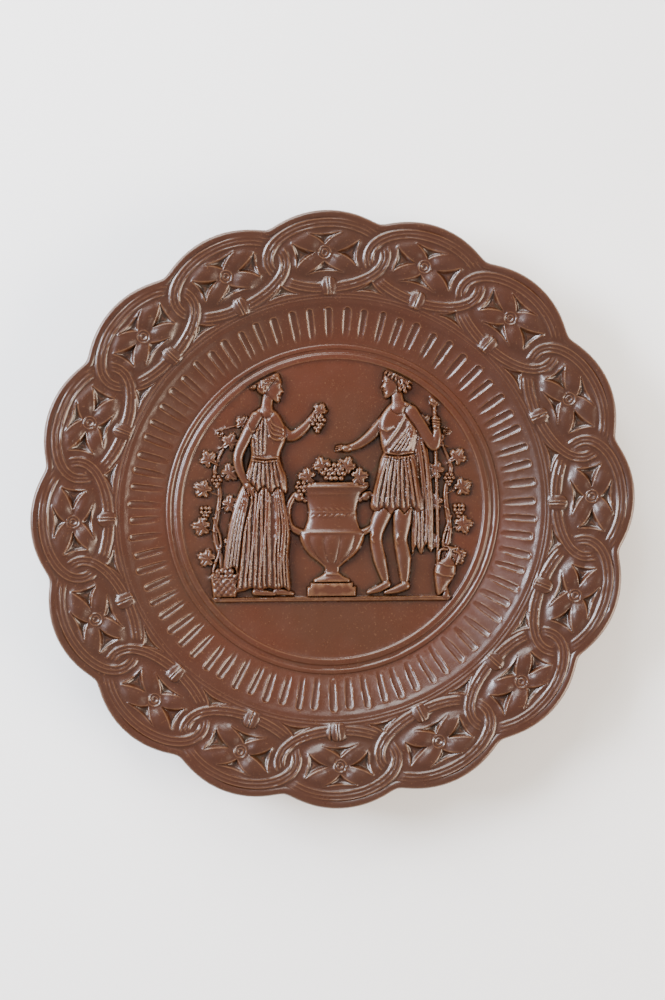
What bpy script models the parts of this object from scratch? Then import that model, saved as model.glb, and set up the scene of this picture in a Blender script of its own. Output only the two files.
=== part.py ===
"""Moulded stoneware wall plate with a scalloped rim of interlaced links, a fluted slope and a relief group.

Metres, +Z up. The front faces -Y and the foot ring's flat face lies on the wall, at Y = 0. The origin is on
that face, at the top of the foot ring, where the plate hangs. Heights are measured from the wall.
"""
import math

import bmesh
import bpy
import numpy as np

# Outline: lobes with round crests and narrow notches
LOBES = 16
CREST_RADIUS = 0.1600
NOTCH_DEPTH = 0.0061
LOBE_TURN = math.radians(-2.3)
OVALITY = 0.011
OVAL_TURN = math.radians(57.0)
NOTCH_SHARPNESS = 8

# Bands of the front, from the plain field out to the rim
FIELD_RADIUS = 0.0795
INNER_RINGS_WIDTH = 0.0100
FLUTE_GAP = 0.0011
FLUTE_LENGTH = 0.0175
OUTER_RINGS_WIDTH = 0.0053

# Heights of the section, and the rolled edge
FIELD_HEIGHT = 0.0140
SLOPE_RISE = 0.0080
RIM_RISE = 0.0060
ROLL_WIDTH = 0.0044
ROLL_RISE = 0.0010
EDGE_DROP = 0.0026
EDGE_THICKNESS = 0.0022

# Foot ring, pierced twice for a hanging wire
FOOT_RADIUS = 0.0875
FOOT_WIDTH = 0.0060
FOOT_HEIGHT = 0.0080
FOOT_DRAFT = 0.0008
WIRE_HOLE = 0.0036
WIRE_HOLE_HEIGHT = 0.0038
WIRE_HOLE_SPREAD = math.radians(26.0)

# Edges of the bands
SLOPE_INNER = FIELD_RADIUS + INNER_RINGS_WIDTH
FLUTE_INNER = SLOPE_INNER + FLUTE_GAP
FLUTE_OUTER = FLUTE_INNER + FLUTE_LENGTH
SLOPE_OUTER = FLUTE_OUTER + OUTER_RINGS_WIDTH

# Ring mouldings: radius, half width and rise of each bead
BEADS = (
    (FIELD_RADIUS + 0.0017, 0.0015, 0.0009),
    (FIELD_RADIUS + 0.0062, 0.0014, 0.0007),
    (FLUTE_OUTER + 0.0029, 0.0013, 0.0006),
    (SLOPE_OUTER + 0.0006, 0.0016, 0.0009),
)

# Flutes: round-ended hollows across the slope
FLUTES = 71
FLUTE_WIDTH = 0.0050
FLUTE_DEPTH = 0.0017
FLUTE_DRIFT = 0.045
FLUTE_DRIFT_TURN = math.radians(45.0)

# Rim ornament: a chain of links that fills the rim between its inner bead and the rolled edge
STRAP_WIDTH = 0.0070
STRAP_RISE = 0.0014
STRAP_GAP = 0.0010
LINK_TOP_MARGIN = 0.0042
LINK_FOOT_MARGIN = 0.0027
LINK_OVERLAP = 0.0073
LINK_SHIFT = 0.0010
TIE_WIDTH = 0.0062
TIE_RISE = 0.0012
BOSS_SHIFT = 0.00125
BOSS_SIZE = 0.0034
BOSS_RISE = 0.0012
CROSS_DEPTH = 0.0016
CROSS_APEX = (0.0068, 0.0053)
CROSS_REACH = (0.0164, 0.0100)
CROSS_SPREAD = (0.0082, 0.0055)
WEDGE_GAP = 0.0026
WEDGE_HEIGHT = 0.0070
WEDGE_HALF_WIDTH = 0.0103
WEDGE_DEPTH = 0.0013
LINK_TOP = CREST_RADIUS - LINK_TOP_MARGIN - STRAP_WIDTH / 2
LINK_FOOT = SLOPE_OUTER + LINK_FOOT_MARGIN + STRAP_WIDTH / 2
LINK_MIDDLE = (LINK_TOP + LINK_FOOT) / 2
BOSS_RADIUS = LINK_MIDDLE + BOSS_SHIFT
LOBE_PITCH = BOSS_RADIUS * 2 * math.pi / LOBES
LINK_LENGTH = LOBE_PITCH + LINK_OVERLAP

# Relief group on the field, drawn in 120ths of its own height
GROUP_HEIGHT = 0.1200
GROUP_PARTS = 120
GROUP_GROUND = -0.0470
GROUP_DEPTH = 1.15

# Fineness of the solid
RING_STEP = 0.0009
FINE_STEP = 0.0005
FACES = 9600

# Glaze of the solid
GLAZE = (0.118, 0.040, 0.020)
GLAZE_ROUGHNESS = 0.28

CENTRE_Z = -FOOT_RADIUS
EDGE_HEIGHT = FIELD_HEIGHT + SLOPE_RISE + RIM_RISE


def smooth(low, high, value):
    """Share of the way from low to high, eased at both ends."""
    share = np.clip((value - low) / (high - low), 0.0, 1.0)
    return share * share * (3.0 - 2.0 * share)


def bead(distance, half_width, rise):
    """A round ridge across a distance measured from its middle."""
    share = np.clip(np.abs(distance) / half_width, 0.0, 1.0)
    return rise * np.sqrt(1.0 - share**2)


def flowing(points, closed=False, steps=4):
    """A smooth line through a few points."""
    points = np.array(points, float)
    count = len(points)
    line = []
    for i in range(count if closed else count - 1):
        near = [i - 1, i, i + 1, i + 2]
        if closed:
            a, b, c, d = (points[k % count] for k in near)
        else:
            a, b, c, d = (points[min(max(k, 0), count - 1)] for k in near)
        for k in range(steps):
            t = k / steps
            bend = (2 * a - 5 * b + 4 * c - d) * t**2 + (3 * b - a - 3 * c + d) * t**3
            line.append(b + 0.5 * ((c - a) * t + bend))
    if not closed:
        line.append(points[-1])
    return np.array(line)


def inside_outline(outline, x, z):
    """Distance in from a closed outline, negative outside it."""
    near = np.full(x.shape, 1e9)
    inside = np.zeros(x.shape, bool)
    for a, b in zip(outline, np.roll(outline, -1, axis=0)):
        d = b - a
        t = np.clip(((x - a[0]) * d[0] + (z - a[1]) * d[1]) / max(d @ d, 1e-12), 0.0, 1.0)
        near = np.minimum(near, np.hypot(x - a[0] - d[0] * t, z - a[1] - d[1] * t))
        if a[1] != b[1]:
            cross = (a[1] > z) != (b[1] > z)
            inside ^= cross & (x < a[0] + (z - a[1]) * d[0] / d[1])
    return np.where(inside, near, -near)


class Carving:
    """A low relief laid shape over shape on a fine square grid."""

    def __init__(self, half, pitch):
        count = int(round(2 * half / pitch)) + 1
        self.half = half
        self.pitch = 2 * half / (count - 1)
        self.axis = np.linspace(-half, half, count)
        self.height = np.zeros((count, count))

    def window(self, points, margin):
        """The part of the grid round some points."""
        low = np.min(points, axis=0) - margin
        high = np.max(points, axis=0) + margin
        first = np.clip(np.floor((low + self.half) / self.pitch).astype(int), 0, len(self.axis))
        last = np.clip(np.ceil((high + self.half) / self.pitch).astype(int) + 1, 0, len(self.axis))
        area = (slice(first[1], last[1]), slice(first[0], last[0]))
        x, z = np.meshgrid(self.axis[area[1]], self.axis[area[0]])
        return area, x, z

    def lay(self, area, inside, top):
        """Lays a shape over what is there, with a narrow slope at its outline."""
        under = self.height[area]
        self.height[area] = under + (top - under) * smooth(-0.4, 0.5, inside)

    def limb(self, points, radii, base, rise):
        """A round form along a line, such as an arm, a stem or a staff."""
        line = flowing(points)
        radii = np.interp(np.linspace(0, 1, len(line)), np.linspace(0, 1, len(radii)), radii)
        area, x, z = self.window(line, max(radii) + 1.0)
        share = np.full(x.shape, 9.0)
        radius = np.ones(x.shape)
        for a, b, first, last in zip(line, line[1:], radii, radii[1:]):
            d = b - a
            t = np.clip(((x - a[0]) * d[0] + (z - a[1]) * d[1]) / max(d @ d, 1e-9), 0.0, 1.0)
            r = first + (last - first) * t
            q = np.hypot(x - a[0] - d[0] * t, z - a[1] - d[1] * t) / r
            radius = np.where(q < share, r, radius)
            share = np.minimum(share, q)
        top = base + rise * radius / max(radii) * np.sqrt(np.clip(1.0 - share**2, 0.0, 1.0))
        self.lay(area, (1.0 - share) * radius, top)

    def mound(self, x0, z0, half_x, half_z, base, rise):
        """An oval boss."""
        area, x, z = self.window(np.array([[x0, z0]]), max(half_x, half_z) + 1.0)
        share = np.hypot((x - x0) / half_x, (z - z0) / half_z)
        top = base + rise * np.sqrt(np.clip(1.0 - share**2, 0.0, 1.0))
        self.lay(area, (1.0 - share) * min(half_x, half_z), top)

    def mass(self, points, base, rise, edge, curved=True):
        """A flat-topped form with a rounded edge. Gives its window and its distance in."""
        outline = flowing(points, closed=True) if curved else np.array(points, float)
        area, x, z = self.window(outline, 1.0)
        inside = inside_outline(outline, x, z)
        share = np.clip(1.0 - inside / edge, 0.0, 1.0)
        self.lay(area, inside, base + rise * np.sqrt(1.0 - share**2))
        return area, inside

    def fan(self, first, last, count, width, rise, within):
        """Folds that run side by side between two lines."""
        first = flowing(first)
        last = flowing(last)
        area, inside = within
        x, z = np.meshgrid(self.axis[area[1]], self.axis[area[0]])
        near = np.full(x.shape, 9.0 * width)
        for i in range(count):
            share = (i + 0.5) / count
            line = first * (1.0 - share) + last * share
            for a, b in zip(line, line[1:]):
                d = b - a
                t = np.clip(((x - a[0]) * d[0] + (z - a[1]) * d[1]) / max(d @ d, 1e-9), 0.0, 1.0)
                near = np.minimum(near, np.hypot(x - a[0] - d[0] * t, z - a[1] - d[1] * t))
        self.height[area] += bead(near, width, rise) * smooth(0.0, 1.0, inside)


def placed(points, x0, z0, facing=1, size=1.0, turn=0.0):
    """Points drawn with +x as the way a figure faces, turned, sized and set in their place."""
    points = np.array(points, float) * size
    c = math.cos(math.radians(turn))
    s = math.sin(math.radians(turn))
    turned = np.stack([points[:, 0] * c - points[:, 1] * s, points[:, 0] * s + points[:, 1] * c], 1)
    return turned * [facing, 1] + [x0, z0]


def head(relief, x0, z0, size, facing, turn, base, bun):
    """A head in profile with its hair, and a bun at the nape where asked."""
    face = [(-0.02, 0.50), (0.20, 0.44), (0.33, 0.28), (0.365, 0.12), (0.46, -0.11), (0.40, -0.20),
            (0.39, -0.32), (0.29, -0.49), (0.10, -0.40), (-0.22, -0.27), (-0.46, 0.08), (-0.36, 0.34)]
    hair = [(0.28, 0.37), (0.07, 0.14), (-0.08, -0.14), (-0.20, -0.28), (-0.40, -0.16), (-0.50, 0.08),
            (-0.40, 0.38), (-0.12, 0.56), (0.14, 0.54)]
    relief.mass(placed(face, x0, z0, facing, size, turn), base, 1.9, 3.2)
    relief.mass(placed(hair, x0, z0, facing, size, turn), base + 0.9, 1.9, 2.4)
    if bun:
        nape = placed([(-0.56, 0.02)], x0, z0, facing, size, turn)[0]
        relief.mound(nape[0], nape[1], 0.19 * size, 0.17 * size, base + 0.5, 1.9)


def woman(relief, x0, z0, facing):
    """A standing woman in a girdled dress who holds up a bunch of grapes."""
    def put(points):
        return placed(points, x0, z0, facing)

    skirt = [(-6, 68), (-10, 50), (-11, 36), (-12, 20), (-14.5, 3.6), (-2, 2.7), (12.5, 3.4),
             (11.3, 18), (12.2, 32), (9.5, 47), (6, 68)]
    overfold = [(-5.5, 88), (-8.2, 78), (-7, 67), (-10.8, 55), (-9.5, 50.5), (0, 51), (10.2, 49.4),
                (10.2, 57), (6.8, 67), (9.8, 77), (7, 86), (3, 90), (-1.5, 91)]
    cloth = [(-9, 54), (-12.5, 50), (-17, 34), (-19.5, 14), (-12, 11), (-10, 30), (-6.5, 46)]
    relief.limb(put([(3, 85), (12, 77), (18, 81), (26, 90)]), [3.2, 2.7, 2.2, 1.3], 0.7, 2.2)
    relief.limb(put([(6, 2.4), (13, 1.4)]), [1.9, 1.1], 0.8, 1.6)
    relief.limb(put([(-4, 2.2), (4.5, 1.3)]), [1.9, 1.1], 1.0, 1.6)
    within = relief.mass(put(skirt), 0.7, 2.6, 3.0)
    back_fold = [(-6, 60), (-9.2, 42), (-13, 4)]
    front_fold = [(8.5, 60), (10.5, 33), (11.5, 4)]
    relief.fan(put(back_fold), put(front_fold), 5, 1.3, 1.2, within)
    within = relief.mass(put(overfold), 1.5, 2.2, 2.6)
    relief.fan(put([(-6.6, 65), (-9.6, 51)]), put([(6.4, 65), (9.8, 50)]), 4, 1.2, 1.1, within)
    within = relief.mass(put(cloth), 1.2, 1.7, 1.6)
    back_fold = [(-10, 52), (-15.6, 34), (-18.6, 13)]
    front_fold = [(-7, 49), (-10, 30), (-12, 12)]
    relief.fan(put(back_fold), put(front_fold), 2, 1.2, 1.0, within)
    relief.limb(put([(-0.5, 88), (0.8, 95)]), [3.0, 2.5], 1.2, 1.8)
    centre = put([(1.8, 100.5)])[0]
    head(relief, centre[0], centre[1], 14.6, facing, -6, 1.4, True)
    relief.limb(put([(-4.2, 85.5), (-9.5, 76), (-13.2, 67.5)]), [3.3, 2.9, 2.5], 2.3, 2.4)
    relief.limb(put([(-13.2, 67.5), (-11.5, 60), (-6.5, 50)]), [2.6, 2.2, 1.5], 2.5, 2.2)


def youth(relief, x0, z0, facing):
    """A standing youth in a short tunic and cloak who holds a staff and lays fruit in the bowl."""
    def put(points):
        return placed(points, x0, z0, facing)

    cloak = [(-4, 90), (-10.5, 86), (-14.5, 66), (-17, 42), (-16.5, 21), (-6.6, 20), (-5.6, 44), (-4, 66)]
    tunic = [(-6.6, 69), (-9.6, 56), (-12.2, 42.5), (0, 40), (13.2, 43.4), (10.4, 56), (6.6, 69)]
    chest = [(-3, 93), (-8.4, 88.5), (-9.2, 80), (-6.8, 68), (6.8, 68), (9.4, 79), (8.6, 86), (4.6, 91.5)]
    within = relief.mass(put(cloak), 0.5, 1.9, 2.0)
    back_fold = [(-8.8, 84), (-15.8, 42), (-15.6, 22)]
    front_fold = [(-5, 84), (-7, 42), (-7, 22)]
    relief.fan(put(back_fold), put(front_fold), 2, 1.3, 1.1, within)
    relief.limb(put([(5, 86), (13, 77.5), (19, 72.5), (28, 71)]), [3.3, 2.8, 2.1, 1.2], 0.8, 2.3)
    relief.limb(put([(4, 45), (8.6, 36), (10.4, 27.5)]), [4.6, 4.0, 3.0], 0.8, 2.9)
    relief.limb(put([(10.4, 27.5), (7.6, 17), (5.6, 7.5)]), [3.0, 3.0, 1.7], 0.8, 2.4)
    relief.limb(put([(5.2, 5.6), (13.6, 1.6)]), [1.9, 1.0], 0.9, 1.7)
    relief.limb(put([(-2.4, 45), (-2.0, 35), (-1.4, 26.5)]), [5.0, 4.4, 3.2], 1.3, 3.1)
    relief.limb(put([(-1.4, 26.5), (-3.2, 17.5), (-3.4, 6.5)]), [3.2, 3.4, 1.8], 1.3, 2.8)
    relief.limb(put([(-3.8, 4.6), (5.4, 1.5)]), [2.1, 1.0], 1.4, 1.8)
    within = relief.mass(put(tunic), 1.6, 2.5, 2.8)
    relief.fan(put([(-6.2, 67), (-11.2, 42)]), put([(6.2, 67), (12.2, 42.5)]), 5, 1.3, 1.2, within)
    within = relief.mass(put(chest), 1.9, 2.4, 3.4)
    relief.fan(put([(-7, 86), (5.6, 70)]), put([(-7.6, 78), (-2, 69)]), 2, 1.2, 1.0, within)
    relief.limb(put([(0, 90), (1.2, 96.4)]), [3.2, 2.7], 1.6, 1.9)
    centre = put([(2.2, 101.8)])[0]
    head(relief, centre[0], centre[1], 14.8, facing, -4, 1.6, False)
    relief.limb(put([(-19.5, 0.5), (-15.2, 99)]), [1.1, 1.1], 1.0, 1.2)
    tip = put([(-14.9, 103.5)])[0]
    relief.mound(tip[0], tip[1], 2.5, 3.8, 0.8, 1.8)
    relief.limb(put([(-6, 87.5), (-12, 81), (-16.6, 75.5)]), [3.4, 3.0, 2.5], 2.4, 2.4)
    relief.limb(put([(-16.6, 75.5), (-17.4, 83), (-16, 93)]), [2.5, 2.2, 1.7], 2.3, 2.2)


def krater(relief, x0, z0):
    """A two-handled bowl on a block, turned, so that its relief is round across."""
    block = [(-12, 0), (12, 0), (12, 5), (10.5, 7), (-10.5, 7), (-12, 5)]
    heights = [7, 10.4, 12, 14.5, 17, 20, 24, 28, 31, 34, 38, 43, 48, 51.5, 55, 57]
    radii = [9, 5.2, 3.4, 3.6, 6.4, 10.5, 13.9, 15.7, 16.2, 13.6, 12.2, 11.8, 12.8, 14.6, 18.2, 17.6]
    relief.mass(placed(block, x0, z0), 0.9, 1.8, 0.8, curved=False)
    for side in (-1, 1):
        handle = placed([(13, 31), (20.5, 35), (22, 44), (18, 51), (13.5, 48)], x0, z0, side)
        relief.limb(handle, [1.9, 1.6, 1.5, 1.5, 1.3], 0.9, 1.8)
    area, x, z = relief.window(np.array([(x0 - 19, z0 + 6), (x0 + 19, z0 + 58)]), 1.0)
    radius = np.interp(z - z0, heights, radii)
    share = np.abs(x - x0) / radius
    across = np.sqrt(np.clip(1.0 - share**2, 0.0, 1.0))
    inside = np.minimum((1.0 - share) * radius, np.minimum(z - z0 - 7, z0 + 57 - z))
    relief.lay(area, inside, 1.0 + 0.21 * radius * across)


def grapes(relief, x0, z0, size, rows, base):
    """A bunch of fruit, each row below the last."""
    for row, count in enumerate(rows):
        for k in range(count):
            x = x0 + (k - (count - 1) / 2) * size * 1.7
            relief.mound(x, z0 - row * size * 1.5, size, size, base, 1.5)


def leaf(relief, x0, z0, size, turn, base):
    """A vine leaf of five rounded lobes."""
    area, x, z = relief.window(np.array([[x0, z0]]), size + 1.0)
    way = np.arctan2(z - z0, x - x0) - math.radians(turn)
    reach = size * (0.55 + 0.45 * np.abs(np.cos(2.5 * way)))
    share = np.hypot(x - x0, z - z0) / reach
    relief.lay(area, (1.0 - share) * size * 0.5, base + 1.5 * np.sqrt(np.clip(1.0 - share**2, 0.0, 1.0)))


def vine(relief, ground, side):
    """A vine that climbs one side of the group."""
    def put(points):
        return np.array(points, float) * [side, 1] + [0, ground]

    trunk = [(61, 0), (58.5, 17), (62.5, 35), (60, 55), (63, 69), (58, 81)]
    relief.limb(put(trunk), [2.0, 1.5, 1.2, 0.9], 0.4, 1.5)
    for k in range(7):
        way = 1 if k % 2 == 0 else -1
        spot = put([(61.5 + 6 * way, 20 + 9.2 * k)])[0]
        leaf(relief, spot[0], spot[1], 5.5, 90 - 60 * side * way, 0.5)


def relief_group():
    """The whole relief: two figures at a bowl of grapes between vines, on a strip of ground."""
    unit = GROUP_HEIGHT / GROUP_PARTS
    ground = GROUP_GROUND / unit
    relief = Carving(80.0, 0.5)
    strip = [(-66, ground - 2.6), (68, ground - 2.6), (68, ground), (-66, ground)]
    relief.mass(strip, 0.1, 1.7, 0.8, curved=False)
    vine(relief, ground, -1)
    vine(relief, ground, 1)
    krater(relief, 0, ground)
    grapes(relief, 0.5, ground + 64, 2.0, [2, 4, 5, 4], 2.0)
    woman(relief, -37, ground, 1)
    youth(relief, 38, ground, -1)
    grapes(relief, -10.5, ground + 88, 1.6, [3, 3, 2, 1], 1.2)
    basket = [(-63, ground), (-51, ground), (-49.5, ground + 11), (-64.5, ground + 11)]
    relief.mass(basket, 0.9, 2.2, 2.0, curved=False)
    grapes(relief, -57, ground + 13.5, 2.0, [4, 5], 1.4)
    jar = [(-4.2, 8), (-5.6, 14), (-4.6, 18.5), (-2, 21), (-2.6, 27), (2.6, 27), (2, 21), (4.6, 18.5),
           (5.6, 14), (4.2, 8), (0, 0)]
    relief.mass(placed(jar, 57, ground, turn=-14), 0.9, 2.4, 4.6)
    return relief, unit


def outline_radius(angle):
    """Radius of the plate's edge at an angle clockwise from the top."""
    lobe = 2 * math.pi / LOBES
    share = (angle - LOBE_TURN) / lobe
    share = 2.0 * (share - np.round(share))
    power = 2 * NOTCH_SHARPNESS
    fall = share**2 - np.abs(share) ** power / NOTCH_SHARPNESS
    return CREST_RADIUS - NOTCH_DEPTH * fall / (1.0 - 1.0 / NOTCH_SHARPNESS)


def link_offset(s, radius):
    """Distance from a link's middle line, outward, where s runs round the rim from the link's boss."""
    half_length = LINK_LENGTH / 2
    half_height = (LINK_TOP - LINK_FOOT) / 2
    u = (s - LINK_SHIFT) / half_length
    v = (radius - LINK_MIDDLE) / half_height
    reach = np.maximum(np.hypot(u, v), 1e-6)
    slope = np.hypot(u / half_length, v / half_height) / reach
    return (reach - 1.0) / slope


def strap(offset):
    """Height of a strap, and how far it covers what lies under it."""
    half = STRAP_WIDTH / 2
    return bead(offset, half, STRAP_RISE), smooth(half + STRAP_GAP, half, np.abs(offset))


def links(s, radius):
    """Straps of neighbouring links. At each upper crossing the link on the right lies over the other."""
    left = np.where(s > 0, s, s + LOBE_PITCH)
    left_height, left_cover = strap(link_offset(left, radius))
    right_height, right_cover = strap(link_offset(left - LOBE_PITCH, radius))
    right_over = right_height + left_height * (1.0 - right_cover)
    left_over = left_height + right_height * (1.0 - left_cover)
    upper = smooth(-STRAP_GAP, STRAP_GAP, radius - LINK_MIDDLE)
    return right_over * upper + left_over * (1.0 - upper)


def pit(outline, depth, s, t):
    """A sunk triangle with sloping sides."""
    inside = inside_outline(np.array(outline), s, t)
    return -depth * smooth(-0.1 * depth, 1.1 * depth, inside)


def crosses(s, t):
    """Four sunk triangles, whose points leave a cross between them, and the boss at its middle."""
    apex_s, apex_t = CROSS_APEX
    reach_s, reach_t = CROSS_REACH
    spread_s, spread_t = CROSS_SPREAD
    height = bead(np.hypot(s, t), BOSS_SIZE, BOSS_RISE)
    for way in (-1, 1):
        beside = [(way * apex_s, 0), (way * reach_s, spread_t), (way * reach_s, -spread_t)]
        above = [(0, way * apex_t), (-spread_s, way * reach_t), (spread_s, way * reach_t)]
        height = height + pit(beside, CROSS_DEPTH, s, t) + pit(above, CROSS_DEPTH, s, t)
    return height


def rim_ornament(radius, angle):
    """Height of everything that stands on or is sunk in the rim."""
    lobe = 2 * math.pi / LOBES
    turn = angle - LOBE_TURN
    s = BOSS_RADIUS * (turn - np.round(turn / lobe) * lobe)
    height = links(s, radius) + crosses(s, radius - BOSS_RADIUS)
    along = np.abs(radius - LINK_FOOT)
    tie_end = smooth(STRAP_WIDTH / 2 + STRAP_GAP, STRAP_WIDTH / 2, along)
    height = height + bead(s - LINK_SHIFT, TIE_WIDTH / 2, TIE_RISE) * tie_end
    base = SLOPE_OUTER + WEDGE_GAP
    wedge = [(0, base + WEDGE_HEIGHT), (-WEDGE_HALF_WIDTH, base), (WEDGE_HALF_WIDTH, base)]
    height = height + pit(wedge, WEDGE_DEPTH, LOBE_PITCH / 2 - np.abs(s), radius)
    return height * smooth(SLOPE_OUTER, SLOPE_OUTER + WEDGE_GAP, radius)


def flutes(radius, angle):
    """Round-ended hollows across the slope, their spacing a little wider to one side."""
    step = 2 * math.pi / FLUTES
    drift = FLUTE_DRIFT * np.sin(angle - FLUTE_DRIFT_TURN)
    across = radius * (angle - drift - np.round((angle - drift) / step) * step)
    half = FLUTE_WIDTH / 2
    along = np.clip(radius, FLUTE_INNER + half, FLUTE_OUTER - half)
    share = np.hypot(across, radius - along) / half
    return -FLUTE_DEPTH * np.sqrt(np.clip(1.0 - share**2, 0.0, 1.0))


def front_height(x, z, relief, unit):
    """Height of the front from the wall, with x and z from the plate's middle."""
    radius = np.hypot(x, z)
    angle = np.arctan2(x, z)
    edge = outline_radius(angle)
    height = FIELD_HEIGHT + SLOPE_RISE * np.clip((radius - SLOPE_INNER) / (SLOPE_OUTER - SLOPE_INNER), 0, 1)
    height = height + RIM_RISE * np.clip((radius - SLOPE_OUTER) / (CREST_RADIUS - SLOPE_OUTER), 0, 1)
    for middle, half_width, rise in BEADS:
        height = height + bead(radius - middle, half_width, rise)
    inward = edge - radius
    half_roll = ROLL_WIDTH / 2
    fall = np.clip(1.0 - inward / half_roll, 0.0, 1.0)
    height = height + bead(np.maximum(inward - half_roll, 0.0), half_roll, ROLL_RISE)
    height = height - EDGE_DROP * (1.0 - np.sqrt(1.0 - fall**2))
    height = height + flutes(radius, angle) + rim_ornament(radius, angle)
    place = (np.stack([z, x]) / unit + relief.half) / relief.pitch
    place = np.clip(place, 0, len(relief.axis) - 1.001)
    row, col = np.floor(place).astype(int)
    up, along = place - [row, col]
    low = relief.height[row, col] * (1 - along) + relief.height[row, col + 1] * along
    high = relief.height[row + 1, col] * (1 - along) + relief.height[row + 1, col + 1] * along
    carved = (low * (1 - up) + high * up) * unit * GROUP_DEPTH
    return height + carved * (radius < FIELD_RADIUS)


def back_height(radius, angle):
    """Height of the back from the wall: foot ring, hollow inside it, and the sloping underside."""
    edge = outline_radius(angle)
    outer = FOOT_RADIUS + FOOT_WIDTH / 2
    under = EDGE_HEIGHT - EDGE_DROP - EDGE_THICKNESS
    slope = np.clip((radius - outer - FOOT_DRAFT) / (edge - outer - FOOT_DRAFT), 0.0, 1.0)
    height = FOOT_HEIGHT + (under - FOOT_HEIGHT) * slope
    gap = np.abs(radius - FOOT_RADIUS) - FOOT_WIDTH / 2
    return height * np.clip(gap / FOOT_DRAFT, 0.0, 1.0)


def ring_radii(marks):
    """Radii of the rings of a disc, spaced by the step that each stretch asks for."""
    radii = [0.0]
    for end, step in marks:
        count = max(int(round((end - radii[-1]) / step)), 1)
        radii.extend(np.linspace(radii[-1], end, count + 1)[1:])
    return np.array(radii)


def disc_grid(radii):
    """Corners of a disc as rings, and its square cells. Ring i has 8 i corners."""
    rings = len(radii) - 1
    side = np.arange(-rings, rings + 1)
    a, b = np.meshgrid(side, side)
    ring = np.maximum(np.abs(a), np.abs(b))
    quarter = math.pi / 4
    share = np.where(np.abs(a) >= np.abs(b), b / np.where(a == 0, 1, a), a / np.where(b == 0, 1, b))
    angle = np.where(np.abs(a) >= np.abs(b), share * quarter, 2 * quarter - share * quarter)
    angle = np.where((np.abs(a) >= np.abs(b)) & (a < 0), angle + math.pi, angle)
    angle = np.where((np.abs(a) < np.abs(b)) & (b < 0), angle + math.pi, angle)
    radius = radii[ring]
    clockwise = math.pi / 2 - angle
    pull = smooth(SLOPE_OUTER, CREST_RADIUS, radius)
    radius = radius + (outline_radius(clockwise) - CREST_RADIUS) * pull
    return (radius * np.cos(angle)).ravel(), (radius * np.sin(angle)).ravel(), side


def warped(x, z):
    """Places of points once the plate has warped to a slight oval in the kiln."""
    pull = 2.0 * OVALITY * (x * math.sin(OVAL_TURN) + z * math.cos(OVAL_TURN))
    return x * (1.0 - OVALITY) + pull * math.sin(OVAL_TURN), z * (1.0 - OVALITY) + pull * math.cos(OVAL_TURN)


def plate_mesh():
    """The closed surface of the plate: front, back and the edge between them."""
    relief, unit = relief_group()
    inner = FOOT_RADIUS - FOOT_WIDTH / 2
    outer = FOOT_RADIUS + FOOT_WIDTH / 2
    front = ring_radii([(FIELD_RADIUS, 1.3 * RING_STEP), (SLOPE_INNER, FINE_STEP), (FLUTE_OUTER, RING_STEP),
                        (SLOPE_OUTER + FINE_STEP, FINE_STEP), (CREST_RADIUS - ROLL_WIDTH, RING_STEP),
                        (CREST_RADIUS, FINE_STEP)])
    rings = len(front) - 1
    back = ring_radii([(inner - FOOT_DRAFT, 2 * RING_STEP), (inner, FOOT_DRAFT), (outer, FOOT_WIDTH / 4),
                       (outer + FOOT_DRAFT, FOOT_DRAFT)])
    back = np.concatenate([back, np.linspace(back[-1], CREST_RADIUS, rings + 2 - len(back))[1:]])
    front_x, front_z, side = disc_grid(front)
    back_x, back_z, side = disc_grid(back)
    heights = [front_height(front_x, front_z, relief, unit),
               back_height(np.hypot(back_x, back_z), np.arctan2(back_x, back_z))]
    corners = []
    for x, z, height in ((front_x, front_z, heights[0]), (back_x, back_z, heights[1])):
        x, z = warped(x, z)
        corners.append(np.stack([x, -height, z + CENTRE_Z], 1))
    width = len(side)
    index = np.arange(width * width).reshape(width, width)
    cell = np.stack([index[:-1, :-1], index[:-1, 1:], index[1:, 1:], index[1:, :-1]], -1).reshape(-1, 4)
    border = np.concatenate([index[0, :-1], index[:-1, -1], index[-1, :0:-1], index[:0:-1, 0]])
    after = np.roll(border, -1)
    count = width * width
    strip = np.stack([border, border + count, after + count, after], 1)
    faces = np.concatenate([cell, cell[:, ::-1] + count, strip])
    mesh = bpy.data.meshes.new("plate")
    mesh.from_pydata(np.concatenate(corners).tolist(), [], faces.tolist())
    mesh.update()
    return mesh


def add_cutter(name, angle):
    """A rod that pierces the foot ring at an angle clockwise from the top."""
    mesh = bpy.data.meshes.new(name)
    shape = bmesh.new()
    bmesh.ops.create_cone(shape, cap_ends=True, segments=12, radius1=WIRE_HOLE / 2, radius2=WIRE_HOLE / 2,
                          depth=3 * FOOT_WIDTH)
    shape.to_mesh(mesh)
    shape.free()
    cutter = bpy.data.objects.new(name, mesh)
    bpy.context.scene.collection.objects.link(cutter)
    cutter.rotation_euler = (0.0, angle, 0.0)
    height = FOOT_RADIUS * math.cos(angle) + CENTRE_Z
    cutter.location = (FOOT_RADIUS * math.sin(angle), -WIRE_HOLE_HEIGHT, height)
    cutter.hide_render = True
    cutter.display_type = "WIRE"
    return cutter


def glazed_stoneware():
    """Brown salt glaze over moulded stoneware."""
    material = bpy.data.materials.new("glazed_stoneware")
    material.use_nodes = True
    shader = material.node_tree.nodes["Principled BSDF"]
    shader.inputs["Base Color"].default_value = (*GLAZE, 1.0)
    shader.inputs["Roughness"].default_value = GLAZE_ROUGHNESS
    shader.inputs["Metallic"].default_value = 0.0
    return material


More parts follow.
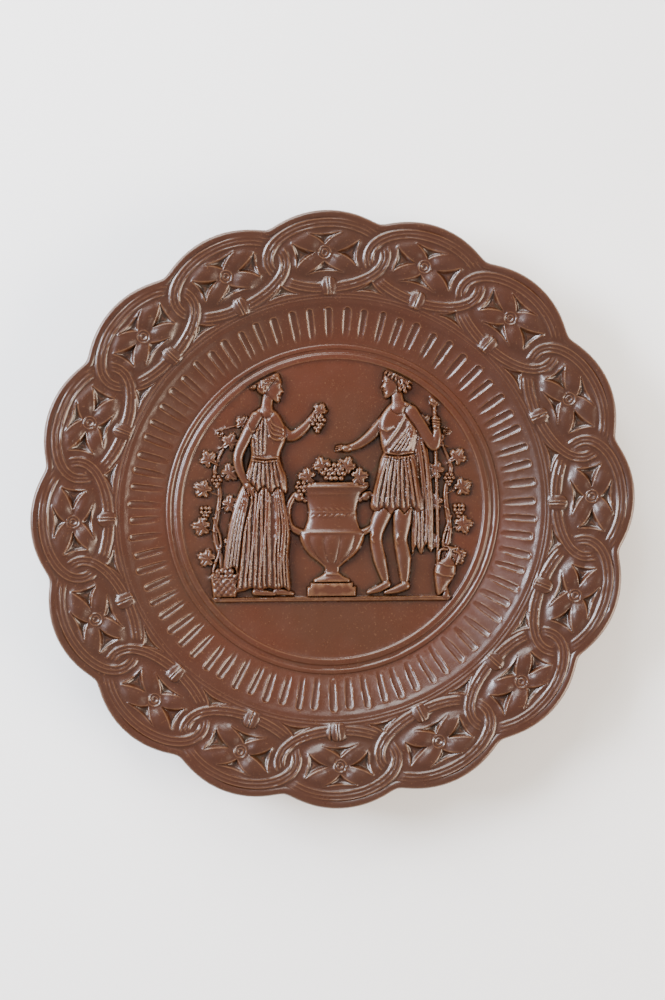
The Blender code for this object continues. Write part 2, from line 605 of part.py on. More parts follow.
def build():
    for thing in list(bpy.data.objects):
        bpy.data.objects.remove(thing, do_unlink=True)
    mesh = plate_mesh()
    mesh.materials.append(glazed_stoneware())
    plate = bpy.data.objects.new("plate", mesh)
    bpy.context.scene.collection.objects.link(plate)
    thin = plate.modifiers.new("facets", "DECIMATE")
    thin.ratio = FACES / (2 * len(mesh.polygons))
    for name, side in (("wire_hole_left", -0.5), ("wire_hole_right", 0.5)):
        pierce = plate.modifiers.new(name, "BOOLEAN")
        pierce.operation = "DIFFERENCE"
        pierce.object = add_cutter(name, side * WIRE_HOLE_SPREAD)
    mesh.shade_smooth()
    mesh.set_sharp_from_angle(angle=math.radians(35.0))


build()
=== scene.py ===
"""Looks of a moulded stoneware wall plate: a scalloped rim of interlaced links, flutes and a relief group."""
import math

import bmesh
import bpy
import numpy as np
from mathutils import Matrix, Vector


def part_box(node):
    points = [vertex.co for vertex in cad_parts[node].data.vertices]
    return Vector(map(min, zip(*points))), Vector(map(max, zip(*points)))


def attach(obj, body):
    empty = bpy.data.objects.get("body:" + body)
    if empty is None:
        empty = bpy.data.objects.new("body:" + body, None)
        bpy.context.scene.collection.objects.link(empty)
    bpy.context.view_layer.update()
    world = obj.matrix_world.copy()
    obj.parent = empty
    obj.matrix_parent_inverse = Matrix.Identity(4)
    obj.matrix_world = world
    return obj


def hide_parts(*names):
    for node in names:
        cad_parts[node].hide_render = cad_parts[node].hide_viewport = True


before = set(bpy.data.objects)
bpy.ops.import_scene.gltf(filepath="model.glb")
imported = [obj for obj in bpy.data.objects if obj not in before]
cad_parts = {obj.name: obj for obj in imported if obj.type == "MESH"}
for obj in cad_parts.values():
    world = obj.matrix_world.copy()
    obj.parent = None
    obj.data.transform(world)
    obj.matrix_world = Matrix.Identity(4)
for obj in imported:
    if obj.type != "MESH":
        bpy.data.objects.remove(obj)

bl_info = {
    "name": "Moulded stoneware wall plate",
    "version": (1, 0, 0),
    "blender": (4, 5, 0),
    "location": "3D View > Sidebar > Wall plate",
    "description": "Models, glazes and lights a scalloped wall plate with a relief group",
    "category": "Object",
}

MM = 0.001
RIM_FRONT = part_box("plate")[0][1]
FOOT_RADIUS = 87.5 * MM
CENTRE_Z = -FOOT_RADIUS
LINK_SHIFT = 1.0 * MM
LINK_DROP = 1.55 * MM
FINE_LINE = 0.42 * MM


def linear(code):
    """An sRGB hex colour as the linear values that a shader takes."""
    parts = [int(code[i:i + 2], 16) / 255 for i in (1, 3, 5)]
    return [p / 12.92 if p <= 0.04045 else ((p + 0.055) / 1.055) ** 2.4 for p in parts] + [1.0]


def number(name, description, default, **kind):
    """A number that a user can change."""
    return bpy.props.FloatProperty(name=name, description=description, default=default, **kind)


def length(name, description, size_mm):
    """A length that a user can change, from millimetres."""
    return number(name, description, size_mm * MM, unit="LENGTH", precision=5)


def tint(name, description, code):
    """A colour that a user can change."""
    return bpy.props.FloatVectorProperty(name=name, description=description, default=linear(code), size=4,
                                         subtype="COLOR", min=0.0, max=1.0)


class WallPlateForm(bpy.types.PropertyGroup):
    """Sizes of the plate"""
    lobes: bpy.props.IntProperty(name="Lobes", description="Lobes and links round the rim", default=16)
    flutes: bpy.props.IntProperty(name="Flutes", description="Flutes round the slope", default=71)
    lobe_turn: number("Lobe turn", "The first crest, from the top", math.radians(-2.3), subtype="ANGLE")
    crest_radius: length("Crest radius", "From the middle to the crest of a lobe", 159.8)
    notch_depth: length("Notch depth", "How far the notches lie inside the crests", 6.1)
    ovality: number("Ovality", "Share by which the kiln drew the plate oval", 0.011, precision=4)
    oval_turn: number("Oval turn", "The longest diameter, from the top", math.radians(57.0), subtype="ANGLE")
    field_radius: length("Field radius", "Radius of the plain field", 79.5)
    field_height: length("Field height", "From the wall to the front of the field", 14.0)
    slope_inner: length("Slope foot", "Radius where the slope starts", 89.5)
    slope_outer: length("Slope top", "Radius where the rim starts", 113.4)
    slope_rise: length("Slope rise", "How far the slope rises", 8.0)
    rim_rise: length("Rim rise", "How far the rim rises to its edge", 6.0)
    roll_width: length("Roll width", "Width of the rolled edge", 4.2)
    roll_rise: length("Roll rise", "How far the rolled edge stands up", 0.55)
    edge_drop: length("Edge drop", "How far the roll falls to the edge", 2.6)
    edge_thickness: length("Edge thickness", "Thickness at the very edge", 2.2)
    flute_width: length("Flute width", "Width of a flute", 3.7)
    flute_depth: length("Flute depth", "Depth of a flute", 0.6)
    flute_inner: length("Flute foot", "Radius where the flutes start", 91.0)
    flute_outer: length("Flute top", "Radius where the flutes end", 108.2)
    boss_radius: length("Boss circle", "Radius of the circle of bosses", 137.2)
    link_length: length("Link length", "Length of a link round the rim", 62.9)
    link_height: length("Link height", "Height of a link across the rim", 34.4)
    strap_width: length("Strap width", "Width of a link's strap", 6.6)
    foot_width: length("Foot width", "Width of the foot ring", 6.0)
    foot_height: length("Foot height", "Height of the foot ring", 8.0)
    wire_hole: length("Wire hole", "Diameter of the two holes in the foot ring", 3.6)
    group_height: length("Group height", "Height of the relief group", 120.0)
    group_depth: number("Group depth", "Relief of the group, 1 as drawn", 1.15)
    grid_step: length("Grid step", "Spacing of the front's fine grid before it is thinned", 0.36)
    triangles: bpy.props.IntProperty(name="Triangles", description="Kept in the plate", default=193000)


class WallPlateGlaze(bpy.types.PropertyGroup):
    """Colours of the glaze, the clay and the stage"""
    body: tint("Glaze", "Brown of the glaze on plain surfaces", "#3b1e0d")
    warm: tint("Warm glaze", "Redder brown where the glaze lies thicker", "#411c0a")
    thin: tint("Thin glaze", "Paler brown where the glaze thins over an edge", "#593c26")
    # The same dark brown also darkens the slope and rim, outward from 86 mm from the middle.
    pooled: tint("Pooled glaze", "Dark brown where the glaze pools", "#2e170a")
    ash: tint("Ash glaze", "Greenish brown in the deepest hollows", "#342816")
    clay: tint("Clay", "Bare clay on the foot ring's bearing face", "#a08572")
    wall: tint("Wall", "Matt wall paint", "#f8f8f6")
    floor: tint("Floor", "Matt pale floor", "#dcdad6")


class WallPlateStage(bpy.types.PropertyGroup):
    """Camera and lights"""
    distance: length("Camera distance", "From the camera to the front of the rim", 1250.0)
    lens: number("Lens", "Focal length in millimetres", 85.0)
    key_power: number("Key light", "Power of the light on the left", 105.0, unit="POWER")
    top_power: number("Top light", "Power of the light above", 104.0, unit="POWER")
    fill_power: number("Fill light", "Power of the light low on the right", 156.0, unit="POWER")
    back_power: number("Back light", "Power of the light behind", 9.0, unit="POWER")
    sky: number("Room light", "Strength of the even light", 0.75)


# Shapes of lines and edges

def smooth(low, high, value):
    """Share of the way from low to high, eased at both ends."""
    share = np.clip((value - low) / (high - low), 0.0, 1.0)
    return share * share * (3.0 - 2.0 * share)


def bead(distance, half_width, rise):
    """A round ridge across a distance measured from its middle."""
    share = np.clip(np.abs(distance) / half_width, 0.0, 1.0)
    return rise * np.sqrt(1.0 - share**2)


def soft_line(distance, half_width, rise):
    """A ridge, or a groove where rise is negative, that runs out softly into its ground."""
    return rise * np.exp(-(distance / half_width) ** 2)


def flowing(points, closed=False, steps=6):
    """A smooth line through a few points."""
    points = np.array(points, float)
    count = len(points)
    line = []
    for i in range(count if closed else count - 1):
        near = [i - 1, i, i + 1, i + 2]
        if closed:
            a, b, c, d = (points[k % count] for k in near)
        else:
            a, b, c, d = (points[min(max(k, 0), count - 1)] for k in near)
        for k in range(steps):
            t = k / steps
            bend = (2 * a - 5 * b + 4 * c - d) * t**2 + (3 * b - a - 3 * c + d) * t**3
            line.append(b + 0.5 * ((c - a) * t + bend))
    if not closed:
        line.append(points[-1])
    return np.array(line)


def inside_outline(outline, x, z):
    """Distance in from a closed outline, negative outside it."""
    near = np.full(x.shape, 1e9)
    inside = np.zeros(x.shape, bool)
    for a, b in zip(outline, np.roll(outline, -1, axis=0)):
        d = b - a
        t = np.clip(((x - a[0]) * d[0] + (z - a[1]) * d[1]) / max(d @ d, 1e-12), 0.0, 1.0)
        near = np.minimum(near, np.hypot(x - a[0] - d[0] * t, z - a[1] - d[1] * t))
        if a[1] != b[1]:
            cross = (a[1] > z) != (b[1] > z)
            inside ^= cross & (x < a[0] + (z - a[1]) * d[0] / d[1])
    return np.where(inside, near, -near)


def bowed(corners, bulge, steps=6):
    """An outline whose sides are bowed by a share of their length."""
    line = []
    for a, b in zip(corners, corners[1:] + corners[:1]):
        a = np.array(a, float)
        b = np.array(b, float)
        across = np.array([b[1] - a[1], a[0] - b[0]])
        t = np.linspace(0, 1, steps, endpoint=False)[:, None]
        line.append(a + (b - a) * t + across * bulge * 4 * t * (1 - t))
    return np.concatenate(line)


# Relief group, drawn in 120ths of its height

class Carving:
    """A low relief laid shape over shape on a fine square grid."""

    ditch = 0.38
    ditch_width = 0.9

    def __init__(self, half, pitch):
        count = int(round(2 * half / pitch)) + 1
        self.half = half
        self.pitch = 2 * half / (count - 1)
        self.axis = np.linspace(-half, half, count)
        self.height = np.zeros((count, count))
        self.frame()

    def frame(self, x0=0.0, z0=0.0, size=1.0, facing=1):
        """Sets the point, the size and the way, right or left, that what follows is drawn from."""
        self.middle = np.array([x0, z0])
        self.size = size * np.array([facing, 1])

    def places(self, area):
        """Where a part of the grid lies, as seen from the point set."""
        return np.meshgrid((self.axis[area[1]] - self.middle[0]) / self.size[0],
                           (self.axis[area[0]] - self.middle[1]) / self.size[1])

    def window(self, points, margin):
        """The part of the grid round some points."""
        ends = np.array([np.min(points, axis=0) - margin, np.max(points, axis=0) + margin])
        ends = (ends * self.size + self.middle + self.half) / self.pitch
        first = np.clip(np.floor(ends.min(0)).astype(int), 0, len(self.axis))
        last = np.clip(np.ceil(ends.max(0)).astype(int) + 1, 0, len(self.axis))
        area = (slice(first[1], last[1]), slice(first[0], last[0]))
        return (area, *self.places(area))

    def lay(self, area, inside, top):
        """Lays a shape over what is there, with a fine ditch round it."""
        under = self.height[area]
        share = np.clip(1.0 + inside / self.ditch_width, 0.0, 1.0) * (inside <= 0)
        under = under - self.ditch * share**2
        self.height[area] = under + (top - under) * smooth(0.0, 0.35, inside) * (inside > 0)

    def along(self, line, radii, x, z):
        """Nearest share across a line of changing radius, the radius and the way along there."""
        share = np.full(x.shape, 9.0)
        radius = np.ones(x.shape)
        way = np.zeros(x.shape)
        for i in range(len(line) - 1):
            a = line[i]
            d = line[i + 1] - a
            t = np.clip(((x - a[0]) * d[0] + (z - a[1]) * d[1]) / max(d @ d, 1e-9), 0.0, 1.0)
            r = radii[i] + (radii[i + 1] - radii[i]) * t
            q = np.hypot(x - a[0] - d[0] * t, z - a[1] - d[1] * t) / r
            nearer = q < share
            share = np.where(nearer, q, share)
            radius = np.where(nearer, r, radius)
            way = np.where(nearer, (i + t) / (len(line) - 1), way)
        return share, radius, way

    def limb(self, points, radii, base, rise, steps=4):
        """A round form along a line, such as an arm or a stem. Its base may change along it."""
        line = flowing(points, steps=steps)
        radii = np.interp(np.linspace(0, 1, len(line)), np.linspace(0, 1, len(radii)), radii)
        area, x, z = self.window(line, max(radii) + self.ditch_width)
        share, radius, way = self.along(line, radii, x, z)
        base = np.interp(way, np.linspace(0, 1, np.size(base)), np.atleast_1d(base))
        top = base + rise * radius / max(radii) * np.sqrt(np.clip(1.0 - share**2, 0.0, 1.0))
        self.lay(area, (1.0 - share) * radius, top)

    def mound(self, x0, z0, half_x, half_z, base, rise, turn=0.0):
        """An oval boss."""
        area, x, z = self.window(np.array([[x0, z0]]), max(half_x, half_z) + self.ditch_width)
        c = math.cos(math.radians(turn))
        s = math.sin(math.radians(turn))
        u = ((x - x0) * c + (z - z0) * s) / half_x
        v = ((z - z0) * c - (x - x0) * s) / half_z
        share = np.hypot(u, v)
        top = base + rise * np.sqrt(np.clip(1.0 - share**2, 0.0, 1.0))
        self.lay(area, (1.0 - share) * min(half_x, half_z), top)

    def mass(self, points, base, rise, edge, curved=True):
        """A flat-topped form with a rounded edge. Gives its window and its distance in."""
        outline = flowing(points, closed=True) if curved else np.array(points, float)
        area, x, z = self.window(outline, self.ditch_width)
        inside = inside_outline(outline, x, z)
        share = np.clip(1.0 - inside / edge, 0.0, 1.0)
        self.lay(area, inside, base + rise * np.sqrt(np.clip(1.0 - share**2, 0.0, 1.0)))
        return area, inside

    def ridges(self, lines, width, rise, within=None, taper=0.0):
        """Round ridges added on top of a form, or grooves where rise is negative."""
        lines = [np.array(line, float) for line in lines]
        area = self.window(np.concatenate(lines), width)[0]
        added = np.zeros_like(self.height[area])
        for line in lines:
            part, px, pz = self.window(line, width)
            rows = slice(part[0].start - area[0].start, part[0].stop - area[0].start)
            cols = slice(part[1].start - area[1].start, part[1].stop - area[1].start)
            radii = width * (1.0 - taper * np.abs(np.linspace(-1, 1, len(line))) ** 3)
            share, radius = self.along(line, radii, px, pz)[:2]
            bump = np.clip(1.0 - share**2, 0.0, 1.0) ** 0.8 * radius / width
            added[rows, cols] = np.maximum(added[rows, cols], bump)
        if within is not None:
            cover = np.zeros_like(self.height)
            cover[within[0]] = smooth(0.0, 0.8, within[1])
            added = added * cover[area]
        self.height[area] += rise * added

    def fan(self, first, last, count, width, rise, within=None, taper=0.3, wave=0.0):
        """Folds that run side by side between two lines."""
        first = flowing(first, steps=4)
        last = flowing(last, steps=4)
        way = np.linspace(0, 1, len(first))
        lines = []
        for i in range(count):
            share = (i + 0.5) / count
            sway = wave * np.sin(way * 7 + i * 2.4) * np.sin(way * np.pi)
            lines.append(first * (1.0 - share) + last * share + np.stack([sway, 0 * way], 1))
        self.ridges(lines, width, rise, within, taper)


def placed(points, x0, z0, size, turn):
    """Points sized, turned and set in their place."""
    points = np.array(points, float) * size
    c = math.cos(math.radians(turn))
    s = math.sin(math.radians(turn))
    return np.stack([points[:, 0] * c - points[:, 1] * s + x0, points[:, 0] * s + points[:, 1] * c + z0], 1)


def head(relief, x0, z0, size, turn, base, bun):
    """A head in profile, in shares of its own height, with a bun or with short curls."""
    def put(points):
        return placed(points, x0, z0, size, turn)

    face = [(-0.02, 0.50), (0.20, 0.44), (0.33, 0.28), (0.365, 0.12), (0.355, 0.06), (0.46, -0.11),
            (0.39, -0.16), (0.405, -0.215), (0.37, -0.25), (0.39, -0.30), (0.35, -0.345), (0.37, -0.42),
            (0.29, -0.49), (0.10, -0.40), (-0.06, -0.30), (-0.22, -0.27), (-0.38, -0.12), (-0.46, 0.08),
            (-0.36, 0.34)]
    relief.mass(put(face), base, 1.9, 3.2)
    brow = [(0.19, 0.12), (0.29, 0.13), (0.35, 0.10)]
    lid = [(0.22, 0.055), (0.27, 0.07), (0.32, 0.05)]
    under_lid = [(0.21, 0.0), (0.27, -0.005), (0.31, 0.01)]
    mouth = [(0.30, -0.25), (0.36, -0.25)]
    lines = ((brow, 0.55, 0.4), (lid, 0.45, 0.5), (under_lid, 0.4, 0.25), (mouth, 0.4, -0.5))
    for line, width, rise in lines:
        relief.ridges([put(line)], width, rise)
    cap = [(0.28, 0.37), (0.20, 0.22), (0.07, 0.14), (-0.02, 0.02), (-0.08, -0.14), (-0.20, -0.28),
           (-0.40, -0.16), (-0.50, 0.08), (-0.40, 0.38), (-0.12, 0.56), (0.14, 0.54)]
    within = relief.mass(put(cap), base + 0.9, 1.6, 2.2)
    if bun:
        front = [(0.27, 0.36), (0.05, 0.36), (-0.2, 0.28), (-0.46, 0.12)]
        nape = [(-0.03, 0.0), (-0.12, -0.06), (-0.24, -0.1), (-0.42, -0.04)]
        relief.fan(put(front), put(nape), 6, 0.5, 0.7, within)
        knot = put([(-0.56, 0.02)])[0]
        relief.mound(*knot, 0.19 * size, 0.17 * size, base + 0.5, 1.9)
        strands = ([(-0.66, 0.10), (-0.55, 0.0), (-0.48, -0.10)], [(-0.58, 0.15), (-0.48, 0.04)],
                   [(-0.7, -0.02), (-0.6, -0.1)])
        relief.ridges([put(strand) for strand in strands], 0.45, 0.6)
        bands = ([(0.22, 0.28), (0.02, 0.28), (-0.2, 0.42)],
                 [(-0.1, 0.56), (-0.22, 0.42), (-0.26, 0.2), (-0.2, -0.2)])
        relief.ridges([put(band) for band in bands], 0.6, 0.6)
        return
    for ring, count, start in ((0.50, 9, 50), (0.36, 8, 70), (0.20, 5, 60)):
        for k in range(count):
            way = math.radians(start + 190 * k / (count - 1))
            curl = put([(-0.10 + 0.82 * ring * math.cos(way), 0.10 + 0.88 * ring * math.sin(way))])[0]
            relief.mound(*curl, 0.092 * size, 0.075 * size, base + 1.9, 0.95, math.degrees(way))
    for k in range(6):
        sprig = put([(0.27 - 0.10 * k, 0.35 - 0.085 * k + 0.02 * (k % 2))])[0]
        relief.mound(*sprig, 0.085 * size, 0.05 * size, base + 2.2, 0.9, 120 - 8 * k)


def fingers(relief, root, step, reach, base):
    """Three fingers side by side, from a root point."""
    for k in range(3):
        start = np.array(root) + np.array(step) * k
        relief.limb([start, start + reach], [0.62, 0.48], base, 0.8)


def woman(relief):
    """A standing woman in a girdled dress who holds up a bunch of grapes."""
    relief.limb([(2, 86), (11, 77), (18, 80.5), (24.5, 88.5)], [3.2, 2.7, 2.2, 1.5], [0.4, 0.9], 2.2)
    relief.limb([(24, 88), (27, 91)], [1.8, 1.3], 1.0, 1.5)
    fingers(relief, (25.2, 90.6), (0.9, -1.1), (2.0, 0.4), 1.8)
    relief.limb([(6, 2.4), (9.5, 2.0), (13.4, 1.2)], [1.9, 1.6, 1.0], 0.8, 1.6)
    relief.limb([(-4, 2.2), (0, 1.8), (4.8, 1.2)], [1.9, 1.6, 1.0], 1.0, 1.6)
    skirt = [(-6, 68), (-10, 50), (-11, 36), (-12, 20), (-14.5, 3.6), (-10, 2.6), (-6, 3.8), (-2, 2.7),
             (2, 3.9), (6, 3.0), (9, 4.0), (12.5, 3.4), (11.3, 18), (12.2, 32), (9.5, 47), (6, 68)]
    within = relief.mass(skirt, 0.7, 2.6, 3.0)
    relief.fan([(-6, 60), (-9.2, 42), (-10.8, 22), (-13, 4.2)],
               [(2.5, 60), (3.0, 42), (3.2, 22), (3.6, 4.4)], 7, 0.85, 1.15, within, wave=0.5)
    relief.fan([(3.4, 52), (5.2, 36), (4.4, 20), (4.6, 4.4)],
               [(8.8, 52), (11.8, 33), (11.2, 18), (12.2, 4.4)], 5, 0.7, 1.0, within, wave=0.3)
    overfold = [(-5.5, 88), (-8.2, 78), (-7, 67), (-10.8, 55), (-9.5, 50.5), (-6.2, 53), (-3.2, 49.5),
                (-0.4, 52.4), (3.0, 48.8), (6.0, 51.8), (10.2, 49.4), (10.2, 57), (6.8, 67), (9.8, 77),
                (7.0, 86), (3, 90), (-1.5, 91)]
    within = relief.mass(overfold, 1.5, 2.2, 2.6)
    relief.fan([(-6.6, 65), (-8.2, 58), (-9.6, 51)], [(6.4, 65), (8.4, 58), (9.8, 50)],
               8, 0.75, 0.95, within, wave=0.3)
    relief.fan([(-4.4, 88), (-7.2, 78), (-6.2, 68)], [(1.2, 90), (0.8, 79), (0.2, 68)],
               4, 0.6, 0.8, within)
    relief.fan([(1.8, 89.5), (3.2, 84), (8.6, 81)], [(0.6, 83), (2.6, 75), (8.0, 74)],
               4, 0.55, 0.7, within)
    relief.ridges([[(2.0, 76.5), (5.5, 74.6), (8.9, 76)]], 0.7, 0.6, within)
    relief.ridges([[(-7, 67.2), (0, 66.0), (6.8, 66.8)], [(-7, 65.6), (0, 64.4), (6.9, 65.2)]],
                  0.6, 1.0, within)
    relief.limb([(0.2, 88.5), (0.4, 91.5), (1.0, 95.5)], [3.4, 2.6, 2.7], [2.4, 1.4], 1.6)
    head(relief, 1.8, 100.5, 14.6, -6, 1.4, True)
    cloth = [(-9, 54), (-12.5, 50), (-17, 34), (-19.5, 14), (-17, 11.5), (-14.6, 14), (-12, 11), (-10, 30),
             (-6.5, 46)]
    within = relief.mass(cloth, 1.2, 1.7, 1.6)
    relief.fan([(-10, 52), (-15.6, 34), (-18.6, 13.5)], [(-7.4, 49), (-10.4, 30), (-12.4, 12)],
               4, 0.75, 0.9, within)
    relief.limb([(-4.4, 86.0), (-9.5, 76), (-13.0, 67.5), (-11.8, 60), (-7.8, 52.5)],
                [3.2, 3.0, 2.5, 2.2, 1.5], [1.9, 2.4, 2.6], 2.3)
    relief.limb([(-8.0, 53.0), (-6.0, 49.8)], [1.8, 1.3], 2.7, 1.8)
    fingers(relief, (-8.2, 51.2), (1.1, -0.1), (0.9, -2.8), 3.4)
    relief.ridges([[(-6.4, 87.0), (-8.6, 82.6), (-6.6, 79.0), (-2.0, 80.6)]], 0.6, 0.7)


def youth(relief):
    """A standing youth in a short tunic and cloak who holds a staff and lays fruit in the bowl."""
    cloak = [(-4, 90), (-10.5, 86), (-14.5, 66), (-17, 42), (-16.5, 21), (-13.4, 24), (-11.2, 19.5),
             (-8.6, 23), (-6.6, 20), (-5.6, 44), (-4, 66)]
    within = relief.mass(cloak, 0.5, 1.9, 2.0)
    relief.fan([(-8.8, 84), (-13.4, 64), (-15.8, 42), (-15.6, 22)],
               [(-5.4, 84), (-6.6, 64), (-7.4, 42), (-7.2, 22)], 5, 0.85, 1.05, within, wave=-0.4)
    relief.limb([(4, 87), (12, 78), (19, 72.5), (25, 70.5)], [3.3, 2.8, 2.1, 1.5], [0.5, 1.0], 2.3)
    relief.limb([(24.5, 70.5), (28, 71)], [1.8, 1.3], 1.2, 1.6)
    fingers(relief, (27.2, 72.0), (0.2, -1.0), (2.4, -0.5), 1.8)
    relief.limb([(4, 45), (8.6, 36), (10.4, 27.5), (8.4, 17), (5.6, 7)], [4.6, 4.2, 3.0, 3.1, 1.7], 0.8, 2.9)
    relief.limb([(5.0, 5.2), (8.8, 3.2), (13.8, 1.5)], [2.0, 1.8, 1.0], 0.9, 1.7)
    relief.limb([(-2.4, 45), (-2.0, 35), (-1.4, 26.5), (-3.0, 17.5), (-3.4, 6.5)],
                [5.0, 4.5, 3.2, 3.5, 1.8], 1.3, 3.1)
    relief.limb([(-3.8, 4.6), (0.2, 2.8), (5.6, 1.4)], [2.2, 1.9, 1.0], 1.4, 1.8)
    relief.ridges([[(-0.4, 28.4), (1.1, 26.6), (0.0, 24.8)], [(11.6, 29.4), (12.8, 27.4), (11.4, 25.6)]],
                  0.7, 0.45)
    skirt = [(-6.6, 69), (-9.6, 56), (-12.2, 42.5), (-9.4, 39.6), (-6.4, 42), (-3.0, 38.8), (0.0, 41.4),
             (3.6, 38.8), (6.6, 41.8), (10.2, 40), (13.2, 43.4), (10.4, 56), (6.6, 69)]
    within = relief.mass(skirt, 1.6, 2.5, 2.8)
    relief.fan([(-6.2, 67), (-9.0, 55), (-11.2, 42)], [(6.2, 67), (9.6, 55), (12.2, 42.5)],
               9, 0.85, 1.1, within, wave=-0.3)
    chest = [(-3, 93), (-8.4, 88.5), (-9.2, 80), (-6.8, 68), (0, 66.6), (6.8, 68), (9.4, 79), (8.6, 86),
             (4.6, 91.5), (1.4, 93)]
    within = relief.mass(chest, 1.9, 2.4, 3.4)
    relief.fan([(-7.0, 88), (-2.4, 79), (5.6, 69)], [(-7.6, 80), (-6.2, 74), (-4.6, 69)],
               5, 0.65, 0.85, within)
    relief.ridges([[(-5.4, 91), (0.4, 80), (7.2, 70.6)], [(2.4, 80.5), (5.8, 78.6), (8.4, 80)]],
                  0.65, 0.7, within)
    relief.ridges([[(-7, 68.6), (0, 67.2), (6.8, 68.4)], [(-7, 67), (0, 65.6), (6.9, 66.8)]], 0.6, 1.0)
    relief.limb([(0.4, 90), (0.8, 93.5), (1.4, 97)], [3.6, 2.8, 2.8], [2.8, 1.6], 1.7)
    head(relief, 2.2, 101.8, 14.8, -4, 1.6, False)
    relief.limb([(-19.8, 0.5), (-18.2, 50), (-16.8, 90)], [0.9, 0.9, 0.9], 1.0, 1.2)
    relief.mound(-16.6, 93.5, 2.3, 3.4, 0.8, 1.8)
    for k in range(3):
        relief.ridges([[(-18.7, 91.6 + 1.8 * k), (-16.6, 90.6 + 1.8 * k), (-14.5, 91.6 + 1.8 * k)]], 0.4, 0.5)
    relief.limb([(-5.6, 88), (-11.6, 79.0), (-16.6, 71.6), (-18.0, 76.5), (-17.6, 81.5)],
                [3.3, 3.0, 2.6, 2.2, 1.5], [2.0, 2.6, 2.3], 2.3)
    relief.limb([(-17.6, 81.0), (-17.2, 84.4)], [1.9, 1.7], 2.2, 1.9)
    fingers(relief, (-19.2, 81.6), (0.1, 1.3), (3.2, 0.4), 3.2)


def leaf(relief, x0, z0, size, turn, base=0.5, rise=1.7):
    """A vine leaf with five pointed lobes and a rib to each."""
    area, x, z = relief.window(np.array([[x0, z0]]), size * 1.1 + 1.0)
    way = np.arctan2(z - z0, x - x0) - math.radians(turn)
    way = (way + np.pi) % (2 * np.pi) - np.pi
    lobe = np.abs(np.cos(2.5 * way))
    reach = size * (0.66 + 0.34 * lobe**0.9) * (0.88 + 0.16 * np.cos(way)) * (1.0 + 0.06 * np.cos(20 * way))
    reach = reach * (1.0 - 0.45 * smooth(2.75, 3.14, np.abs(way)))
    rho = np.hypot(x - x0, z - z0)
    share = rho / reach
    rib = np.abs(np.sin(2.5 * way)) * rho
    top = base + rise * np.sqrt(np.clip(1.0 - 0.75 * np.minimum(share, 1.0) ** 2, 0.0, 1.0))
    top = top - 0.5 * np.exp(-(rib / (0.10 * size)) ** 2) * smooth(0.0, 0.3, share) * smooth(1.0, 0.8, share)
    relief.lay(area, (1.0 - share) * size * 0.5, top)


def grapes(relief, x0, z0, size, rows, base, seed):
    """A hanging bunch, each row of fruit below the last."""
    scatter = np.random.default_rng(seed)
    for row in reversed(range(len(rows))):
        count = rows[row]
        for k in range(count):
            off = scatter.uniform(-0.15, 0.15, 2) * size
            x = x0 + (k - (count - 1) / 2) * size * 1.62 + off[0]
            middle = 1.0 - abs(2 * k / max(count - 1, 1) - 1.0)
            relief.mound(x, z0 - row * size * 1.45 + off[1], size, size, base + 0.25 * middle, 1.5)


def krater(relief):
    """A two-handled bowl on a block, turned, so that its relief is round across."""
    block = [(-12, 0), (12, 0), (12, 5), (10.5, 5), (10.5, 7), (-10.5, 7), (-10.5, 5), (-12, 5)]
    relief.mass(block, 0.9, 1.8, 0.8, curved=False)
    for side in (-1, 1):
        handle = [(side * x, z) for x, z in ((13, 31), (20.5, 35), (22, 44), (18, 51), (13.5, 48))]
        relief.limb(handle, [1.9, 1.6, 1.5, 1.5, 1.3], 0.9, 1.8)
        relief.mound(side * 16.5, 49.8, 2.4, 2.4, 1.2, 1.9)
    heights = [7, 8.6, 10.4, 12, 14.5, 17, 20, 24, 28, 31, 32.5, 34, 38, 43, 48, 51.5, 53.5, 55, 57]
    radii = [9, 9, 5.2, 3.4, 3.6, 6.4, 10.5, 13.9, 15.7, 16.2, 15.2, 13.6, 12.2, 11.8, 12.8, 14.6, 17.4, 18.2,
             17.6]
    area, x, z = relief.window([(-19, 6), (19, 58)], 1.0)
    radius = np.interp(z, heights, radii)
    side = np.arcsin(np.clip(x / radius, -1.0, 1.0))
    across = np.cos(side)
    top = 1.0 + 0.21 * radius * across
    bowl = smooth(15.5, 17.5, z) * smooth(31.0, 29.5, z)
    top = top + 0.75 * bowl * (np.abs(np.cos(side * 6.0)) ** 0.7 - 0.5) * np.minimum(1.0, across * 2.5)
    for at, rise in ((32, 0.7), (54.6, 0.7), (51.2, 0.4), (11.2, 0.7)):
        top = top + soft_line(z - at, 0.7, rise) * across
    stem = np.abs(z - 42)
    wreath = np.abs(np.sin(1.1 * x + 1.2 * stem))
    top = top + (soft_line(stem - 1.4, 1.0, 0.55) * wreath + soft_line(stem, 0.4, 0.4)) * across
    relief.lay(area, np.minimum(radius - np.abs(x), np.minimum(z - 7, 57 - z)), top)


def basket(relief, wide, high):
    """A woven basket heaped with fruit."""
    sides = [(-0.40 * wide, 0), (0.40 * wide, 0), (0.5 * wide, high), (-0.5 * wide, high)]
    area, inside = relief.mass(sides, 0.9, 2.2, 2.0, curved=False)
    x, z = relief.places(area)
    stake = 1.7
    row = z / 1.9
    weave = np.cos(np.pi * (x / stake + np.floor(row) % 2)) * np.abs(np.sin(row * np.pi)) ** 0.6
    relief.height[area] += 0.42 * weave * smooth(0.0, 0.7, inside)
    relief.ridges([[(-0.5 * wide, high - 0.4), (0.5 * wide, high - 0.4)]], 1.1, 0.9)
    for level, count in ((0.6, 6), (3.0, 4)):
        for k in range(count):
            x = (k - (count - 1) / 2) * 2.35
            relief.mound(x, high + level + 0.5 * math.sin(2.2 * k), 1.75, 1.75, 1.5, 1.6)


